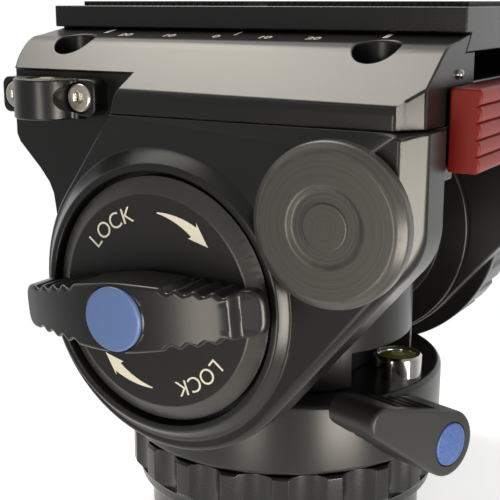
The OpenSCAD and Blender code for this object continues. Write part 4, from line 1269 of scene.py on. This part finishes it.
def knob_lock_print():
    """The word with its arrow, twice, half a turn apart."""
    marks = bmesh.new()
    for half in (0.0, math.pi):
        parts = [curved_arrow()]
        for letter, angle in LOCK_LETTERS:
            lean = math.radians(angle)
            right = Vector((0, -math.cos(lean), math.sin(lean)))
            up = Vector((0, math.sin(lean), math.cos(lean)))
            place = knob_place(LOCK_RADIUS, angle)
            parts.append(printed(letter, LOCK_HEIGHT, right, up, place, LOCK_BOLD))
        turn = Matrix.Rotation(half, 4, "X") @ Matrix.Translation((0, 0, -TILT_Z))
        for part in parts:
            set_at(part, (0, 0, TILT_Z), turn)
            join_into(marks, part)
    keep(marks, "knob_lock_print", "tilt_knob", PRINT, weigh=False)


def rail_scale_print():
    """Numerals and index lines on the rail beside the sliding plate."""
    right = Vector((0, -1, 0))
    up = Vector((RAIL_EDGE[0] - RAIL_TOP[0], 0, RAIL_TOP[1] - RAIL_EDGE[1])).normalized()
    start = Vector((-RAIL_EDGE[0], 0, RAIL_EDGE[1])) + right.cross(up) * INK * MM
    marks = bmesh.new()
    for text, y in RAIL_NUMBERS:
        place = start + up * RAIL_NUMBER_UP * MM + Vector((0, y * MM, 0))
        join_into(marks, printed(text, RAIL_NUMBER_HEIGHT, right, up, place, RAIL_NUMBER_BOLD))
    for y, wide in RAIL_LINES:
        line = bmesh.new()
        bmesh.ops.create_grid(line, x_segments=1, y_segments=1, size=0.5)
        bmesh.ops.scale(line, verts=line.verts, vec=(wide * MM, RAIL_LINE_LONG * MM, 1))
        set_at(line, start + up * RAIL_LINE_UP * MM + Vector((0, y * MM, 0)), facing(right, up))
        join_into(marks, line)
    keep(marks, "rail_scale_print", "tilt_frame", PRINT, weigh=False)


near_cheek()
knob_wing()
pan_lever_arm()
blue_caps()
release_lever_bar()
level_bracket_block()
rail_stop_pin()
level_vials()
knob_lock_print()
rail_scale_print()


# Stage, light and camera, in metres

WARM = (1.0, 0.93, 0.81)
WHITE = (1, 1, 1, 1)
FLOOR_GREY = (0.80, 0.80, 0.79, 1.0)
FLOOR_R = 0.095
FLOOR_DROP = -0.05 * MM
FLOOR_GLOW = 0.65
BEHIND_X = 0.86
BEHIND_Y = 0.5
EVEN_FILL = 0.35
CAMERA_PLACE = (-0.20667, -0.11151, 0.11397)
CAMERA_RIGHT = Vector((0.50569, -0.86272, 0.0))
CAMERA_UP = Vector((0.19617, 0.11498, 0.97381))
CAMERA_LOOK = Vector((0.84012, 0.49244, -0.22738))
FOCUS_PIXELS = 1069.03
FRAME_PIXELS = 500.0
SENSOR = 36.0


def soft_box(name, place, aim, width, height, radiance, colour):
    """Flat lamp whose face shines with the given radiance."""
    lamp = bpy.data.lights.new(name, "AREA")
    lamp.shape = "RECTANGLE"
    lamp.size = width
    lamp.size_y = height
    lamp.energy = radiance * math.pi * width * height
    lamp.color = colour
    holder = bpy.data.objects.new(name, lamp)
    holder.location = place
    holder.rotation_euler = (Vector(aim) - Vector(place)).to_track_quat("-Z", "Y").to_euler()
    scene.collection.objects.link(holder)


def shown_rays(tree):
    """One for rays that show the backdrop: from the camera, in a reflection or through glass."""
    light = shader_node(tree, "LightPath")
    both = math_node(tree, "ADD", light.outputs["Is Camera Ray"], light.outputs["Is Glossy Ray"])
    return light, math_node(tree, "ADD", both, light.outputs["Is Transmission Ray"], True)


def pale_floor():
    bm = bmesh.new()
    bmesh.ops.create_circle(bm, cap_ends=True, cap_tris=False, segments=96, radius=FLOOR_R)
    bmesh.ops.translate(bm, verts=bm.verts, vec=(0, 0, FLOOR_DROP))
    floor = new_object(bm, "pale_floor")
    material, tree, shader = bare_material("pale_floor")
    feed(shader, {
        "Base Color": FLOOR_GREY,
        "Roughness": 0.9,
        "Specular IOR Level": 0.1,
        "Emission Color": WHITE,
        "Emission Strength": math_node(tree, "MULTIPLY", shown_rays(tree)[1], FLOOR_GLOW),
    })
    floor.data.materials.append(material)


def studio_world():
    """White backdrop behind the object, a dim room on the camera's side and an even fill."""
    world = bpy.data.worlds.new("studio")
    scene.world = world
    world.use_nodes = True
    tree = world.node_tree
    tree.nodes.clear()
    light, shown = shown_rays(tree)
    way = shader_node(tree, "TexCoord").outputs["Generated"]
    split = shader_node(tree, "SeparateXYZ", {0: way}).outputs
    across = math_node(tree, "MULTIPLY", split["X"], BEHIND_X)
    along = math_node(tree, "MULTIPLY", split["Y"], BEHIND_Y)
    behind = math_node(tree, "ADD", across, along)
    fade = {"Value": behind, "From Min": -0.2, "From Max": 0.7, "To Min": 0.36, "To Max": 1.0}
    ramp = shader_node(tree, "MapRange", fade, interpolation_type="SMOOTHSTEP").outputs["Result"]
    level = math_node(tree, "MAXIMUM", ramp, light.outputs["Is Camera Ray"])
    fill = shader_node(tree, "Background", {"Color": WHITE, "Strength": EVEN_FILL})
    backdrop = shader_node(tree, "Background", {"Color": WHITE, "Strength": level})
    choose = shader_node(tree, "MixShader", {"Fac": shown, 1: fill.outputs[0], 2: backdrop.outputs[0]})
    shader_node(tree, "OutputWorld", {"Surface": choose.outputs[0]})


def photo_camera():
    data = bpy.data.cameras.new("photo_camera")
    data.sensor_width = SENSOR
    data.lens = SENSOR * FOCUS_PIXELS / FRAME_PIXELS
    data.clip_start = 0.005
    camera = bpy.data.objects.new("photo_camera", data)
    turn = Matrix((CAMERA_RIGHT, CAMERA_UP, -CAMERA_LOOK)).transposed().to_4x4()
    camera.matrix_world = Matrix.Translation(CAMERA_PLACE) @ turn
    scene.collection.objects.link(camera)
    scene.camera = camera


pale_floor()
studio_world()
soft_box("top_box", (0.12, 0.36, 0.86), (-0.04, 0, 0.10), 0.34, 0.56, 7.6, WARM)
soft_box("right_low_box", (-0.14, -0.32, -0.02), (0, 0, 0.04), 0.16, 0.20, 14.0, WARM)
soft_box("left_low_box", (-0.31, -0.03, 0.0), (0, 0, 0.05), 0.08, 0.20, 7.0, WARM)
photo_camera()
